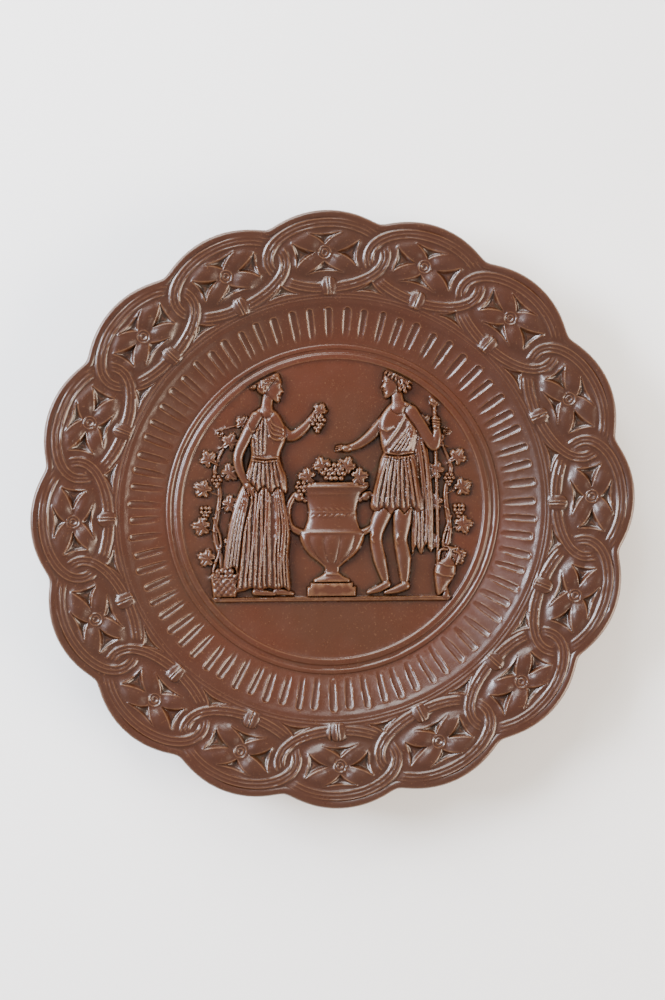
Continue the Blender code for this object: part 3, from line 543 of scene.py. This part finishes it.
def jar(relief, turn):
    """A pointed jar that leans at the end of the ground."""
    def put(points):
        return placed(points, 0, 0, 1.0, turn)

    body = [(-4.2, 8), (-5.6, 14), (-4.6, 18.5), (-2.0, 21), (-1.8, 25), (-2.8, 27), (2.8, 27), (1.8, 25),
            (2.0, 21), (4.6, 18.5), (5.6, 14), (4.2, 8), (0, 0)]
    within = relief.mass(put(body), 0.9, 2.4, 4.6)
    relief.ridges([put([(-5.3, 12), (0, 11), (5.3, 12)]), put([(-4.9, 17.4), (0, 16.4), (4.9, 17.4)])],
                  0.6, 0.6, within)
    for side in (-1, 1):
        relief.limb(put([(2.0 * side, 25), (5.2 * side, 24), (4.8 * side, 18.5)]), [0.8, 0.8, 0.7], 1.6, 1.2)


def vine(relief, ground, side):
    """A vine that climbs one side of the group, with leaves, tendrils and fruit."""
    relief.frame(0, ground, 1.0, side)
    trunk = [(61, 0), (58.5, 17), (62.5, 35), (60, 55), (63, 69), (58, 81)]
    relief.limb(trunk, [2.0, 1.6, 1.5, 1.3, 1.1, 0.8], 0.4, 1.5)
    relief.limb([(60, 3), (63, 15), (59, 29), (63.5, 43)], [1.2, 1.0, 0.9, 0.6], 0.7, 1.4)
    leaves = [(66, 21, 5.8, 20), (54.2, 29, 5.6, 170), (69, 38, 6.0, 10), (54.8, 50, 6.0, 160),
              (68.5, 58, 5.8, 30), (55.2, 67, 6.0, 150), (66, 74, 5.6, 60), (55, 83, 5.8, 110),
              (48.5, 93, 5.0, 120)]
    for x, z, size, turn in leaves:
        relief.ridges([[(x, z), (61, z - 3)]], 0.5, 0.8)
        leaf(relief, x, z, size, turn)
    way = np.linspace(0, 4 * np.pi, 26)
    for x, z, size in ((52.5, 39, 2.4), (60.5, 88, 2.2)):
        curl = size * (1.0 - way / 15)
        relief.ridges([np.stack([x + curl * np.cos(way), z + curl * np.sin(way)], 1)], 0.45, 0.8)
    relief.frame(0, ground)
    grapes(relief, side * 67.5, 48, 1.25, [3, 3, 2, 1], 0.6, 3)
    grapes(relief, side * 62, 65, 1.2, [2, 3, 2, 1], 1.2, 4)


def relief_group():
    """The whole relief: two figures at a bowl of grapes between vines, on a strip of ground."""
    ground = -47.0
    relief = Carving(80.0, 0.2)
    strip = [(-66, ground - 2.6), (68, ground - 2.6), (68, ground), (-66, ground)]
    relief.mass(strip, 0.1, 1.5, 0.8, curved=False)
    relief.ridges([[(-66, ground - 0.2), (68, ground - 0.2)]], 0.6, 0.5)
    vine(relief, ground, -1)
    vine(relief, ground, 1)
    relief.frame(0, ground, 1.08)
    krater(relief)
    for x, z, turn in ((-12, 59.5, 170), (12.5, 59.5, 10), (-5, 64.5, 110), (6.5, 64.5, 70)):
        leaf(relief, x, z, 5.4, turn, 1.2, 1.8)
    grapes(relief, 0.5, 65.5, 1.5, [3, 4, 5, 4], 2.2, 5)
    grapes(relief, -15.5, 56.5, 1.25, [2, 3, 2, 1], 2.6, 6)
    relief.frame(-36, ground + 0.4, 1.12)
    woman(relief)
    leaf(relief, 25.5, 89, 3.8, 60, 1.2, 1.4)
    grapes(relief, 24.6, 86, 1.2, [3, 4, 3, 2, 1], 1.3, 7)
    relief.frame(35, ground + 0.4, 1.12, -1)
    youth(relief)
    relief.frame(-57, ground)
    basket(relief, 15, 11)
    relief.frame(57, ground)
    jar(relief, -14)
    return relief


# Rim, slope and section

def outline_radius(form, angle):
    """Radius of the plate's edge at an angle clockwise from the top."""
    lobe = 2 * math.pi / form.lobes
    share = (angle - form.lobe_turn) / lobe
    share = 2.0 * (share - np.round(share))
    sharpness = 8
    fall = share**2 - np.abs(share) ** (2 * sharpness) / sharpness
    return form.crest_radius - form.notch_depth * fall / (1.0 - 1.0 / sharpness)


def link_offset(form, s, t):
    """Distance from a link's middle line, outward, where s runs round the rim and t across it."""
    half_length = form.link_length / 2
    half_height = form.link_height / 2
    u = (s - LINK_SHIFT) / half_length
    v = (t + LINK_DROP) / half_height
    reach = np.maximum(np.hypot(u, v), 1e-6)
    slope = np.hypot(u / half_length, v / half_height) / reach
    return (reach - 1.0) / slope


def strap(form, offset):
    """Height of a strap with its three raised lines, and how far it covers what lies under it."""
    distance = np.abs(offset)
    half = form.strap_width / 2
    line_gap = 2.1 * MM
    strap_rise = 0.6 * MM
    lines = sum(soft_line(offset - middle, 0.43 * MM, 0.35 * MM) for middle in (-line_gap, 0.0, line_gap))
    height = strap_rise * smooth(half + 0.3 * MM, half - 1.5 * MM, distance) + lines
    return height, smooth(half + 3.6 * MM, half + 0.2 * MM, distance)


def links(form, s, t, pitch):
    """Straps of neighbouring links. At each upper crossing the link on the right lies over the other."""
    left = np.where(s > 0, s, s + pitch)
    left_offset = link_offset(form, left, t)
    right_offset = link_offset(form, left - pitch, t)
    left_height, left_cover = strap(form, left_offset)
    right_height, right_cover = strap(form, right_offset)
    right_over = right_height + left_height * (1.0 - right_cover)
    left_over = left_height + right_height * (1.0 - left_cover)
    upper = smooth(-1.5 * MM, 1.5 * MM, t + LINK_DROP)
    height = right_over * upper + left_over * (1.0 - upper)
    eye_rise = 0.35 * MM
    eye = smooth(-0.6 * MM, -2.6 * MM, np.maximum(left_offset, right_offset))
    return height + eye_rise * eye


def pit(corners, depth, s, t):
    """A chip-cut triangle: a raised lip, sloping sides and a low pyramid left in its middle."""
    outline = bowed(corners, -0.06) * MM
    margin = 2.5 * MM
    wall = 1.5 * MM
    low = outline.min(0) - margin
    high = outline.max(0) + margin
    near = (s > low[0]) & (s < high[0]) & (t > low[1]) & (t < high[1])
    inside = inside_outline(outline, s[near], t[near])
    cut = -depth * smooth(-0.4 * MM, wall, inside)
    lump = 0.8 * depth * np.clip((inside - wall) / (2.0 * MM), 0.0, 1.0)
    height = np.zeros(s.shape)
    height[near] = cut + lump + soft_line(inside + 0.3 * MM, FINE_LINE, 0.34 * MM)
    return height


def crosses(s, t):
    """Four sunk triangles, whose points leave a cross between them, and the ringed boss at its middle."""
    sides = [[(-5.4, 0.3), (-16.4, 6.2), (-15.8, -6.6)],
             [(6.6, 0.1), (17.3, -6.5), (17.9, 6.6)],
             [(0.2, 4.4), (8.6, 10.6), (-7.6, 10.4)],
             [(-0.4, -4.6), (-10.8, -10.8), (10.2, -10.6)]]
    height = sum(pit(corners, 1.35 * MM, s, t) for corners in sides)
    ring = np.hypot(s, t)
    arm_rise = 2.0 * MM
    arm_reach = np.hypot(s / 27, t / 14.5) / MM
    arms = np.abs(np.sin(2 * np.arctan2(1.5 * t, s))) ** 1.5 * smooth(2.0 * MM, 9 * MM, ring)
    height = height + arm_rise * arms * smooth(1.0, 0.62, arm_reach)
    height = height + soft_line(ring - 3.3 * MM, FINE_LINE, 0.5 * MM)
    height = height + soft_line(ring - 1.7 * MM, 0.4 * MM, 0.42 * MM)
    return height + soft_line(ring, 1.0 * MM, -0.3 * MM)


def ties(s, t, aside):
    """The knot that wraps each link at its foot: a soft oval lump with two cords down it."""
    middle_s = 1.8
    middle_t = -18.0
    s = s / MM - middle_s - aside
    t = t / MM - middle_t
    share = np.hypot(s / 5.2, t / 5.4)
    height = 1.6 * np.sqrt(np.clip(1.0 - share**2, 0.0, 1.0)) - 0.35 * np.exp(-(s / 1.6) ** 2) * (share < 1.0)
    for middle in (-0.85, 0.85):
        height = height + soft_line(s - middle, 0.42, 0.45) * smooth(5.2, 4.2, np.abs(t))
    return height * MM


def rim_ornament(form, radius, angle):
    """Height of everything that stands on or is sunk in the rim."""
    lobe = 2 * math.pi / form.lobes
    turn = angle - form.lobe_turn
    s = form.boss_radius * (turn - np.round(turn / lobe) * lobe)
    t = radius - form.boss_radius
    pitch = form.boss_radius * lobe
    field_sink = 0.2 * MM
    field = smooth(-3.4 * MM, -5.2 * MM, np.minimum(link_offset(form, s, t), 0.0))
    height = links(form, s, t, pitch) - field_sink * field + crosses(s, t)
    astray = 1.3 * np.sin(2.1 * np.round(turn / lobe))
    tie = ties(s, t, astray)
    wrap = smooth(0.1 * MM, 0.6 * MM, tie)
    height = height * (1.0 - 0.85 * wrap) + tie
    between = np.where(s > 0, s - pitch / 2, s + pitch / 2)
    height = height + pit([(0.2, -14.4), (-10.0, -20.6), (10.2, -20.6)], 1.1 * MM, between, t)
    return height * smooth(form.slope_outer, form.slope_outer + 2.0 * MM, radius)


def flutes(form, radius, angle):
    """Shallow hollows across the slope with fine raised outlines, cut by hand and so a little uneven."""
    step = 2 * math.pi / form.flutes
    angle = angle - 0.045 * np.sin(angle - math.pi / 4)
    which = np.round(angle / step)
    half = form.flute_width / 2 * (1.0 + 0.10 * np.sin(which * 1.7))
    astray = 0.35 * MM * np.sin(which * 2.3) + 0.3 * MM * np.sin(which * 0.7 + 1.0)
    lean = 0.03 * np.sin(which * 3.1) * (radius - (form.flute_inner + form.flute_outer) / 2)
    across = radius * (angle - which * step) - astray + lean
    top = form.flute_outer + 0.5 * MM * np.sin(which * 2.9)
    foot = form.flute_inner + 0.6 * MM * np.sin(which * 1.3)
    half = half * (0.72 + 0.28 * smooth(foot, foot + 8 * MM, radius))
    inside = half - np.hypot(across, radius - np.clip(radius, foot + half, top - half))
    share = np.clip(1.0 - inside / half, 0.0, 1.0)
    fade = 0.25 + 0.75 * smooth(foot, foot + 6 * MM, radius)
    hollow = -form.flute_depth * np.sqrt(1.0 - share**2)
    return (hollow + soft_line(inside + 0.1 * MM, FINE_LINE, 0.28 * MM)) * fade


def rings(form, radius):
    """Turned mouldings: beads, a swell at the head of the flutes and fine lines."""
    foot = radius - form.field_radius
    top = radius - form.slope_outer
    height = bead(foot - 2.7 * MM, 1.9 * MM, 0.85 * MM) + bead(foot - 8.0 * MM, 1.4 * MM, 0.7 * MM)
    lines = ((foot, 1.6, 0.4, 0.2), (foot, 5.4, 0.6, -0.2), (top, -2.6, 1.7, 0.5), (top, -0.2, 0.4, 0.22),
             (top, 1.6, 0.55, 0.4))
    for start, middle, half_width, rise in lines:
        height = height + soft_line(start - middle * MM, half_width * MM, rise * MM)
    return height


def unevenness(x, z):
    """The slight waviness of clay pressed in a mould and softened by its glaze."""
    scatter = np.random.default_rng(11)
    steepness = 0.0022
    height = np.zeros(x.shape)
    for size in (16, 11, 8, 6.5, 5, 4.2):
        way = scatter.uniform(0, 2 * math.pi)
        phase = scatter.uniform(0, 2 * math.pi, 2)
        along = (x * math.cos(way) + z * math.sin(way)) / (size * MM) * 2 * math.pi
        across = (z * math.cos(way) - x * math.sin(way)) / (size * MM) * 2 * math.pi
        height = height + steepness * size * MM * np.sin(along + phase[0]) * np.sin(across + phase[1])
    return height


def front_height(form, relief, x, z):
    """Height of the front from the wall, with x and z from the plate's middle."""
    radius = np.hypot(x, z)
    angle = np.arctan2(x, z)
    slope = (radius - form.slope_inner) / (form.slope_outer - form.slope_inner)
    rim = (radius - form.slope_outer) / (form.crest_radius - form.slope_outer)
    height = form.field_height + form.slope_rise * np.clip(slope, 0, 1) + form.rim_rise * np.clip(rim, 0, 1)
    height = height + rings(form, radius)
    inward = outline_radius(form, angle) - radius
    half_roll = form.roll_width / 2
    fall = np.clip(1.0 - inward / half_roll, 0.0, 1.0)
    height = height + bead(np.maximum(inward - half_roll, 0.0), half_roll, form.roll_rise)
    height = height - form.edge_drop * (1.0 - np.sqrt(1.0 - fall**2))
    height = height + soft_line(inward - form.roll_width, 0.5 * MM, -0.2 * MM)
    height = height + flutes(form, radius, angle) + rim_ornament(form, radius, angle) + unevenness(x, z)
    unit = form.group_height / 120
    place = (np.stack([z, x]) / unit + relief.half) / relief.pitch
    place = np.clip(place, 0, len(relief.axis) - 1.001)
    row, col = np.floor(place).astype(int)
    up, along = place - [row, col]
    low = relief.height[row, col] * (1 - along) + relief.height[row, col + 1] * along
    high = relief.height[row + 1, col] * (1 - along) + relief.height[row + 1, col + 1] * along
    return height + (low * (1 - up) + high * up) * unit * form.group_depth * (radius < form.field_radius)


def warped(form, x, z, share):
    """Places of points once the plate has been drawn to a slight oval, or with a negative share set back."""
    across = math.sin(form.oval_turn)
    up = math.cos(form.oval_turn)
    pull = 2.0 * share * (x * across + z * up)
    return x * (1.0 - share) + pull * across, z * (1.0 - share) + pull * up


def back_height(form, x, z):
    """Height of the back from the wall: foot ring, hollow inside it, and the sloping underside."""
    radius = np.hypot(x, z)
    edge = outline_radius(form, np.arctan2(x, z))
    draft = 0.8 * MM
    outer = FOOT_RADIUS + form.foot_width / 2
    under = form.field_height + form.slope_rise + form.rim_rise - form.edge_drop - form.edge_thickness
    slope = np.clip((radius - outer - draft) / (edge - outer - draft), 0.0, 1.0)
    height = form.foot_height + (under - form.foot_height) * slope
    edge_round = 1.6 * MM
    edge_lift = 0.9 * MM
    share = np.clip(1.0 - (edge - radius) / edge_round, 0.0, 1.0)
    height = height + edge_lift * (1.0 - np.sqrt(1.0 - share**2))
    gap = np.abs(radius - FOOT_RADIUS) - form.foot_width / 2
    return (height + unevenness(x, z)) * np.clip(gap / draft, 0.0, 1.0)


def ring_radii(marks):
    """Radii of the rings of a disc, spaced by the step that each stretch asks for."""
    radii = [0.0]
    for end, step in marks:
        count = max(int(round((end - radii[-1]) / step)), 1)
        radii.extend(np.linspace(radii[-1], end, count + 1)[1:])
    return np.array(radii)


def disc_grid(form, radii):
    """Corners, square cells and border of a disc of rings. Ring i has 8 i corners."""
    rings_out = len(radii) - 1
    side = np.arange(-rings_out, rings_out + 1)
    a, b = np.meshgrid(side, side)
    flat = np.abs(a) >= np.abs(b)
    share = np.where(flat, b / np.where(a == 0, 1, a), a / np.where(b == 0, 1, b))
    angle = np.where(flat, share * math.pi / 4, math.pi / 2 - share * math.pi / 4)
    angle = angle + math.pi * np.where(flat, a < 0, b < 0)
    radius = radii[np.maximum(np.abs(a), np.abs(b))]
    pull = smooth(form.slope_outer, form.crest_radius, radius)
    radius = radius + (outline_radius(form, math.pi / 2 - angle) - form.crest_radius) * pull
    index = np.arange(a.size).reshape(a.shape)
    cells = np.stack([index[:-1, :-1], index[:-1, 1:], index[1:, 1:], index[1:, :-1]], -1).reshape(-1, 4)
    border = np.concatenate([index[0, :-1], index[:-1, -1], index[-1, :0:-1], index[:0:-1, 0]])
    return (radius * np.cos(angle)).ravel(), (radius * np.sin(angle)).ravel(), cells, border


def mesh_from(name, corners, quads, triangles):
    """A mesh from arrays of corners and faces."""
    mesh = bpy.data.meshes.new(name)
    loops = np.concatenate([quads.ravel(), triangles.ravel()]).astype(np.int32)
    starts = np.concatenate([np.arange(len(quads)) * 4, 4 * len(quads) + np.arange(len(triangles)) * 3])
    mesh.vertices.add(len(corners))
    mesh.vertices.foreach_set("co", corners.astype(np.float32).ravel())
    mesh.loops.add(len(loops))
    mesh.loops.foreach_set("vertex_index", loops)
    mesh.polygons.add(len(starts))
    mesh.polygons.foreach_set("loop_start", starts.astype(np.int32))
    mesh.update(calc_edges=True)
    return mesh


def plate_mesh(form, relief):
    """The closed surface of the plate: a fine front, a coarser back and the edge between them."""
    fine = form.grid_step
    front = ring_radii([(form.field_radius, fine), (form.slope_inner, 0.8 * fine),
                        (form.flute_outer, 1.3 * fine), (form.slope_outer + 2 * MM, 0.8 * fine),
                        (form.crest_radius - form.roll_width, fine), (form.crest_radius, 0.9 * fine)])
    ratio = 4
    spare = -(len(front) - 1) % ratio
    front = np.concatenate([front[:-1], np.linspace(front[-2], front[-1], spare + 2)[1:]])
    inner = FOOT_RADIUS - form.foot_width / 2
    outer = FOOT_RADIUS + form.foot_width / 2
    back = ring_radii([(inner - 0.9 * MM, 4 * MM), (inner + 0.1 * MM, 0.2 * MM), (outer - 0.1 * MM, 2 * MM),
                       (outer + 0.9 * MM, 0.2 * MM), (form.crest_radius - 2 * MM, 3 * MM)])
    count = (len(front) - 1) // ratio
    back = np.concatenate([back, np.linspace(back[-1], form.crest_radius, count + 2 - len(back))[1:]])
    x, z, cells, border = disc_grid(form, front)
    back_x, back_z, back_cells, back_border = disc_grid(form, back)
    corners = []
    for u, v, height in ((x, z, front_height(form, relief, x, z)),
                         (back_x, back_z, back_height(form, back_x, back_z))):
        u, v = warped(form, u, v, form.ovality)
        corners.append(np.stack([u, -height, v + CENTRE_Z], 1))
    corners = np.concatenate(corners)
    near = back_border + len(x)
    after = np.roll(near, -1)
    f = [np.roll(border, -k)[::ratio] for k in range(ratio + 1)]
    strip = [(f[0], near, f[1]), (f[1], near, f[2]), (near, after, f[2]), (f[2], after, f[3]),
             (f[3], after, f[4])]
    triangles = np.concatenate([np.stack(corner, 1) for corner in strip])
    quads = np.concatenate([cells, back_cells[:, ::-1] + len(x)])
    return mesh_from("plate", corners, quads, triangles)


def tone(form, relief, x, z, reach):
    """How far the front stands above the ring of surface that far round each point, in millimetres."""
    middle = front_height(form, relief, x, z)
    around = 0
    for k in range(8):
        way = 2 * math.pi * k / 8
        around = around + front_height(form, relief, x + reach * math.cos(way), z + reach * math.sin(way)) / 8
    return (middle - around) / MM


# Materials

def add_node(tree, kind, settings=None, links=None):
    """A node with its settings, and links from other nodes' outputs to its inputs."""
    node = tree.nodes.new(kind)
    for name, value in (settings or {}).items():
        if isinstance(name, str) and hasattr(node, name):
            setattr(node, name, value)
        else:
            node.inputs[name].default_value = value
    for name, source in (links or {}).items():
        tree.links.new(source, node.inputs[name])
    return node


def new_material(name):
    """An empty node material with its shader."""
    material = bpy.data.materials.new(name)
    material.use_nodes = True
    return material, material.node_tree, material.node_tree.nodes["Principled BSDF"]


def salt_glazed_stoneware(glaze):
    """Moulded stoneware under a brown salt glaze: glossy, with fine orange peel, paler where the glaze thins
    over edges, dark where it pools, and a darker brown over the slope and rim."""
    material, tree, shader = new_material("salt_glazed_moulded_stoneware")
    place = add_node(tree, "ShaderNodeTexCoord").outputs["Object"]
    distance = {"operation": "DISTANCE", 1: (0.0, 0.0, CENTRE_Z)}
    fields = {"radius": add_node(tree, "ShaderNodeVectorMath", distance, {0: place}).outputs["Value"]}
    for name in ("edge", "basin"):
        fields[name] = add_node(tree, "ShaderNodeAttribute", {"attribute_name": name}).outputs["Fac"]
    patterns = (("drift", 60.0, 3.0), ("cloud", 14.0, 3.0), ("mottle", 9.0, 3.0), ("wear", 2.5, 4.0),
                ("peel", 1.4, 2.0), ("speck", 0.9, 1.0), ("grain", 0.45, 1.0))
    for name, size_mm, detail in patterns:
        settings = {"Scale": 1.0 / (size_mm * MM), "Detail": detail}
        fields[name] = add_node(tree, "ShaderNodeTexNoise", settings, {"Vector": place}).outputs["Fac"]
    layers = (
        ("warm", ("drift", 0.35, 0.65, 0.0, 1.0)),
        # Darker brown by radius alone: the pooled colour rises from 86 mm out to 122 mm from the middle and
        # holds beyond.
        ("pooled", ("radius", 86 * MM, 122 * MM, 0.0, 0.65)),
        ("pooled", ("basin", -0.10, -0.9, 0.0, 0.3), ("mottle", 0.2, 0.7, 0.0, 1.0)),
        ("ash", ("basin", -0.4, -0.9, 0.0, 0.55), ("cloud", 0.45, 0.6, 0.0, 1.0)),
        ("pooled", ("edge", -0.05, -0.30, 0.0, 0.30)),
        ("thin", ("edge", 0.05, 0.30, 0.0, 1.0), ("wear", 0.30, 0.62, 0.4, 0.95)),
        ("thin", ("speck", 0.66, 0.76, 0.0, 0.6)),
    )
    ends = ("From Min", "From Max", "To Min", "To Max")
    colour = None
    for name, *masks in layers:
        shares = []
        for field, *span in masks:
            mask = add_node(tree, "ShaderNodeMapRange", dict(zip(ends, span)), {"Value": fields[field]})
            shares.append(mask.outputs["Result"])
        share = shares[0]
        if len(shares) > 1:
            product = add_node(tree, "ShaderNodeMath", {"operation": "MULTIPLY"}, dict(enumerate(shares)))
            share = product.outputs[0]
        settings = {"data_type": "RGBA", 6: list(glaze.body), 7: list(getattr(glaze, name))}
        links = {0: share, 6: colour} if colour else {0: share}
        colour = add_node(tree, "ShaderNodeMix", settings, links).outputs[2]
    tree.links.new(colour, shader.inputs["Base Color"])
    span = dict(zip(ends, (0.3, 0.7, 0.27, 0.36)))
    roughness = add_node(tree, "ShaderNodeMapRange", span, {"Value": fields["mottle"]})
    tree.links.new(roughness.outputs["Result"], shader.inputs["Roughness"])
    shader.inputs["IOR"].default_value = 1.46
    shader.inputs["Coat Weight"].default_value = 0.10
    shader.inputs["Coat Roughness"].default_value = 0.15
    links = {"Height": fields["peel"]}
    peel = add_node(tree, "ShaderNodeBump", {"Strength": 0.28, "Distance": 0.12 * MM}, links)
    links = {"Height": fields["grain"], "Normal": peel.outputs[0]}
    grain = add_node(tree, "ShaderNodeBump", {"Strength": 0.35, "Distance": 0.05 * MM}, links)
    tree.links.new(grain.outputs[0], shader.inputs["Normal"])
    return material


def bare_stoneware(glaze):
    """Fired clay wiped clean of glaze, where the foot ring stood in the kiln: matt and slightly gritty."""
    material, tree, shader = new_material("bare_fired_stoneware")
    place = add_node(tree, "ShaderNodeTexCoord").outputs["Object"]
    grit = add_node(tree, "ShaderNodeTexNoise", {"Scale": 1.0 / (0.7 * MM), "Detail": 3.0}, {"Vector": place})
    shade = add_node(tree, "ShaderNodeMix", {"data_type": "RGBA"}, {0: grit.outputs["Fac"]})
    shade.inputs[6].default_value = [0.8 * part for part in glaze.clay[:3]] + [1.0]
    shade.inputs[7].default_value = list(glaze.clay)
    tree.links.new(shade.outputs[2], shader.inputs["Base Color"])
    links = {"Height": grit.outputs["Fac"]}
    bump = add_node(tree, "ShaderNodeBump", {"Strength": 0.5, "Distance": 0.15 * MM}, links)
    tree.links.new(bump.outputs[0], shader.inputs["Normal"])
    shader.inputs["Roughness"].default_value = 0.85
    return material


def matt_paint(name, colour):
    """Matt paint on a sheet that shows only from its front."""
    material, tree, shader = new_material(name)
    shader.inputs["Base Color"].default_value = list(colour)
    shader.inputs["Roughness"].default_value = 0.9
    shader.inputs["Specular IOR Level"].default_value = 0.2
    behind = add_node(tree, "ShaderNodeNewGeometry").outputs["Backfacing"]
    clear = add_node(tree, "ShaderNodeBsdfTransparent").outputs[0]
    both = add_node(tree, "ShaderNodeMixShader", None, {0: behind, 1: shader.outputs[0], 2: clear})
    tree.links.new(both.outputs[0], tree.nodes["Material Output"].inputs["Surface"])
    return material


# The plate

def link_object(name, data):
    """A new object in the scene."""
    thing = bpy.data.objects.new(name, data)
    bpy.context.scene.collection.objects.link(thing)
    return thing


def wire_hole_cutter(form, angle):
    """A rod that pierces the foot ring at an angle clockwise from the top."""
    shape = bmesh.new()
    bmesh.ops.create_cone(shape, cap_ends=True, segments=28, radius1=form.wire_hole / 2,
                          radius2=form.wire_hole / 2, depth=3 * form.foot_width)
    mesh = bpy.data.meshes.new("wire_hole")
    shape.to_mesh(mesh)
    shape.free()
    cutter = link_object("wire_hole", mesh)
    cutter.rotation_euler = (0.0, angle, 0.0)
    off_wall = 3.8 * MM
    height = FOOT_RADIUS * math.cos(angle) + CENTRE_Z
    cutter.location = (FOOT_RADIUS * math.sin(angle), -off_wall, height)
    return cutter


class WALLPLATE_OT_plate(bpy.types.Operator):
    """Models the moulded plate with all its relief, pierces its foot ring and glazes it"""
    bl_idname = "wall_plate.plate"
    bl_label = "Moulded plate"

    def execute(self, context):
        form = context.scene.wall_plate_form
        glaze = context.scene.wall_plate_glaze
        relief = relief_group()
        rough = link_object("plate_rough", plate_mesh(form, relief))
        thin = rough.modifiers.new("thin", "DECIMATE")
        thin.ratio = form.triangles / (2 * len(rough.data.polygons))
        hole_turn = math.radians(13.0)
        cutters = [wire_hole_cutter(form, angle) for angle in (-hole_turn, hole_turn)]
        for cutter in cutters:
            pierce = rough.modifiers.new("pierce", "BOOLEAN")
            pierce.operation = "DIFFERENCE"
            pierce.object = cutter
        evaluated = rough.evaluated_get(context.evaluated_depsgraph_get())
        mesh = bpy.data.meshes.new_from_object(evaluated)
        mesh.name = "moulded_plate"
        for thing in [rough] + cutters:
            bpy.data.objects.remove(thing, do_unlink=True)
        piece = link_object("moulded_plate", mesh)
        mesh.materials.append(salt_glazed_stoneware(glaze))
        mesh.materials.append(bare_stoneware(glaze))
        corners = np.empty(3 * len(mesh.vertices))
        mesh.vertices.foreach_get("co", corners)
        x, depth, z = corners.reshape(-1, 3).T
        x, z = warped(form, x, z - CENTRE_Z, -form.ovality)
        tolerance = 0.3 * MM
        front = np.abs(depth + front_height(form, relief, x, z)) < tolerance
        for name, reach in (("edge", 0.7 * MM), ("basin", 2.4 * MM)):
            values = np.where(front, tone(form, relief, x, z, reach), 0.0)
            layer = mesh.attributes.new(name, "FLOAT", "POINT")
            layer.data.foreach_set("value", values.astype(np.float32))
        bearing_face = -0.05 * MM
        for face in mesh.polygons:
            if face.center.y > bearing_face:
                face.material_index = 1
        mesh.shade_smooth()
        mesh.set_sharp_from_angle(angle=math.radians(50.0))
        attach(piece, "root")
        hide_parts("plate")
        return {"FINISHED"}


# The stage

def flat_sheet(name, low, high, material):
    """A flat sheet of the stage, 6 m wide, between two lines that are given as depth and height."""
    mesh = bpy.data.meshes.new(name)
    mesh.from_pydata([(-3, *low), (3, *low), (3, *high), (-3, *high)], [], [(0, 1, 2, 3)])
    sheet = link_object(name, mesh)
    mesh.materials.append(material)
    sheet.visible_diffuse = False
    sheet.visible_transmission = False
    sheet.visible_shadow = False
    return sheet


def area_light(name, location, target, size, power, colour):
    """A soft rectangular light that faces a point."""
    data = bpy.data.lights.new(name, "AREA")
    data.shape = "RECTANGLE"
    data.size, data.size_y = size
    data.energy = power
    data.color = linear(colour)[:3]
    light = link_object(name, data)
    light.location = location
    light.rotation_euler = (Vector(target) - Vector(location)).to_track_quat("-Z", "Y").to_euler()


class WALLPLATE_OT_stage(bpy.types.Operator):
    """Adds the pale wall and floor, the soft lights and the camera"""
    bl_idname = "wall_plate.stage"
    bl_label = "Stage"

    def execute(self, context):
        stage = context.scene.wall_plate_stage
        glaze = context.scene.wall_plate_glaze
        corner = (0.4 * MM, CENTRE_Z - 0.9)
        flat_sheet("wall", corner, (corner[0], 3), matt_paint("matt_wall_paint", glaze.wall))
        floor = flat_sheet("floor", (-4, corner[1]), corner, matt_paint("matt_floor_paint", glaze.floor))
        floor.visible_glossy = False
        middle = (0.0, -0.02, CENTRE_Z)
        area_light("key", (-1.45, -0.9, CENTRE_Z + 0.55), middle, (0.7, 1.0), stage.key_power, "#eef2ff")
        area_light("top", (-0.9, -0.8, CENTRE_Z + 1.8), middle, (2.2, 1.25), stage.top_power, "#fdfcfa")
        area_light("fill", (2.1, -0.8, CENTRE_Z - 0.7), middle, (1.6, 1.6), stage.fill_power, "#ffe9d2")
        area_light("back", (0.6, 1.6, CENTRE_Z + 0.7), middle, (1.5, 1.5), stage.back_power, "#ffffff")
        world = bpy.data.worlds.new("room")
        world.use_nodes = True
        background = world.node_tree.nodes["Background"]
        background.inputs["Color"].default_value = linear("#f4f5f7")
        background.inputs["Strength"].default_value = stage.sky
        context.scene.world = world
        data = bpy.data.cameras.new("camera")
        data.lens = stage.lens
        data.sensor_width = 36.0
        camera = link_object("camera", data)
        above = 4.9 * MM
        camera.location = (0.0, RIM_FRONT - stage.distance, CENTRE_Z + above)
        camera.rotation_euler = (math.pi / 2, 0.0, 0.0)
        context.scene.camera = camera
        return {"FINISHED"}


# The panel and its registration

class WALLPLATE_PT_panel(bpy.types.Panel):
    """Sizes, colours and steps of the wall plate"""
    bl_label = "Wall plate"
    bl_idname = "WALLPLATE_PT_panel"
    bl_space_type = "VIEW_3D"
    bl_region_type = "UI"
    bl_category = "Wall plate"

    def draw(self, context):
        for key, group in GROUPS.items():
            box = self.layout.box()
            for name in group.__annotations__:
                box.prop(getattr(context.scene, key), name)
        for operator in OPERATORS:
            self.layout.operator(operator.bl_idname)


GROUPS = {"wall_plate_form": WallPlateForm, "wall_plate_glaze": WallPlateGlaze,
          "wall_plate_stage": WallPlateStage}
OPERATORS = (WALLPLATE_OT_plate, WALLPLATE_OT_stage)


def register():
    for kind in (*GROUPS.values(), *OPERATORS, WALLPLATE_PT_panel):
        bpy.utils.register_class(kind)
    for name, group in GROUPS.items():
        setattr(bpy.types.Scene, name, bpy.props.PointerProperty(type=group))


def unregister():
    for name in GROUPS:
        delattr(bpy.types.Scene, name)
    for kind in (WALLPLATE_PT_panel, *OPERATORS, *GROUPS.values()):
        bpy.utils.unregister_class(kind)


def main():
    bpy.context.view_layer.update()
    register()
    bpy.ops.wall_plate.plate()
    bpy.ops.wall_plate.stage()


if __name__ == "__main__":
    main()
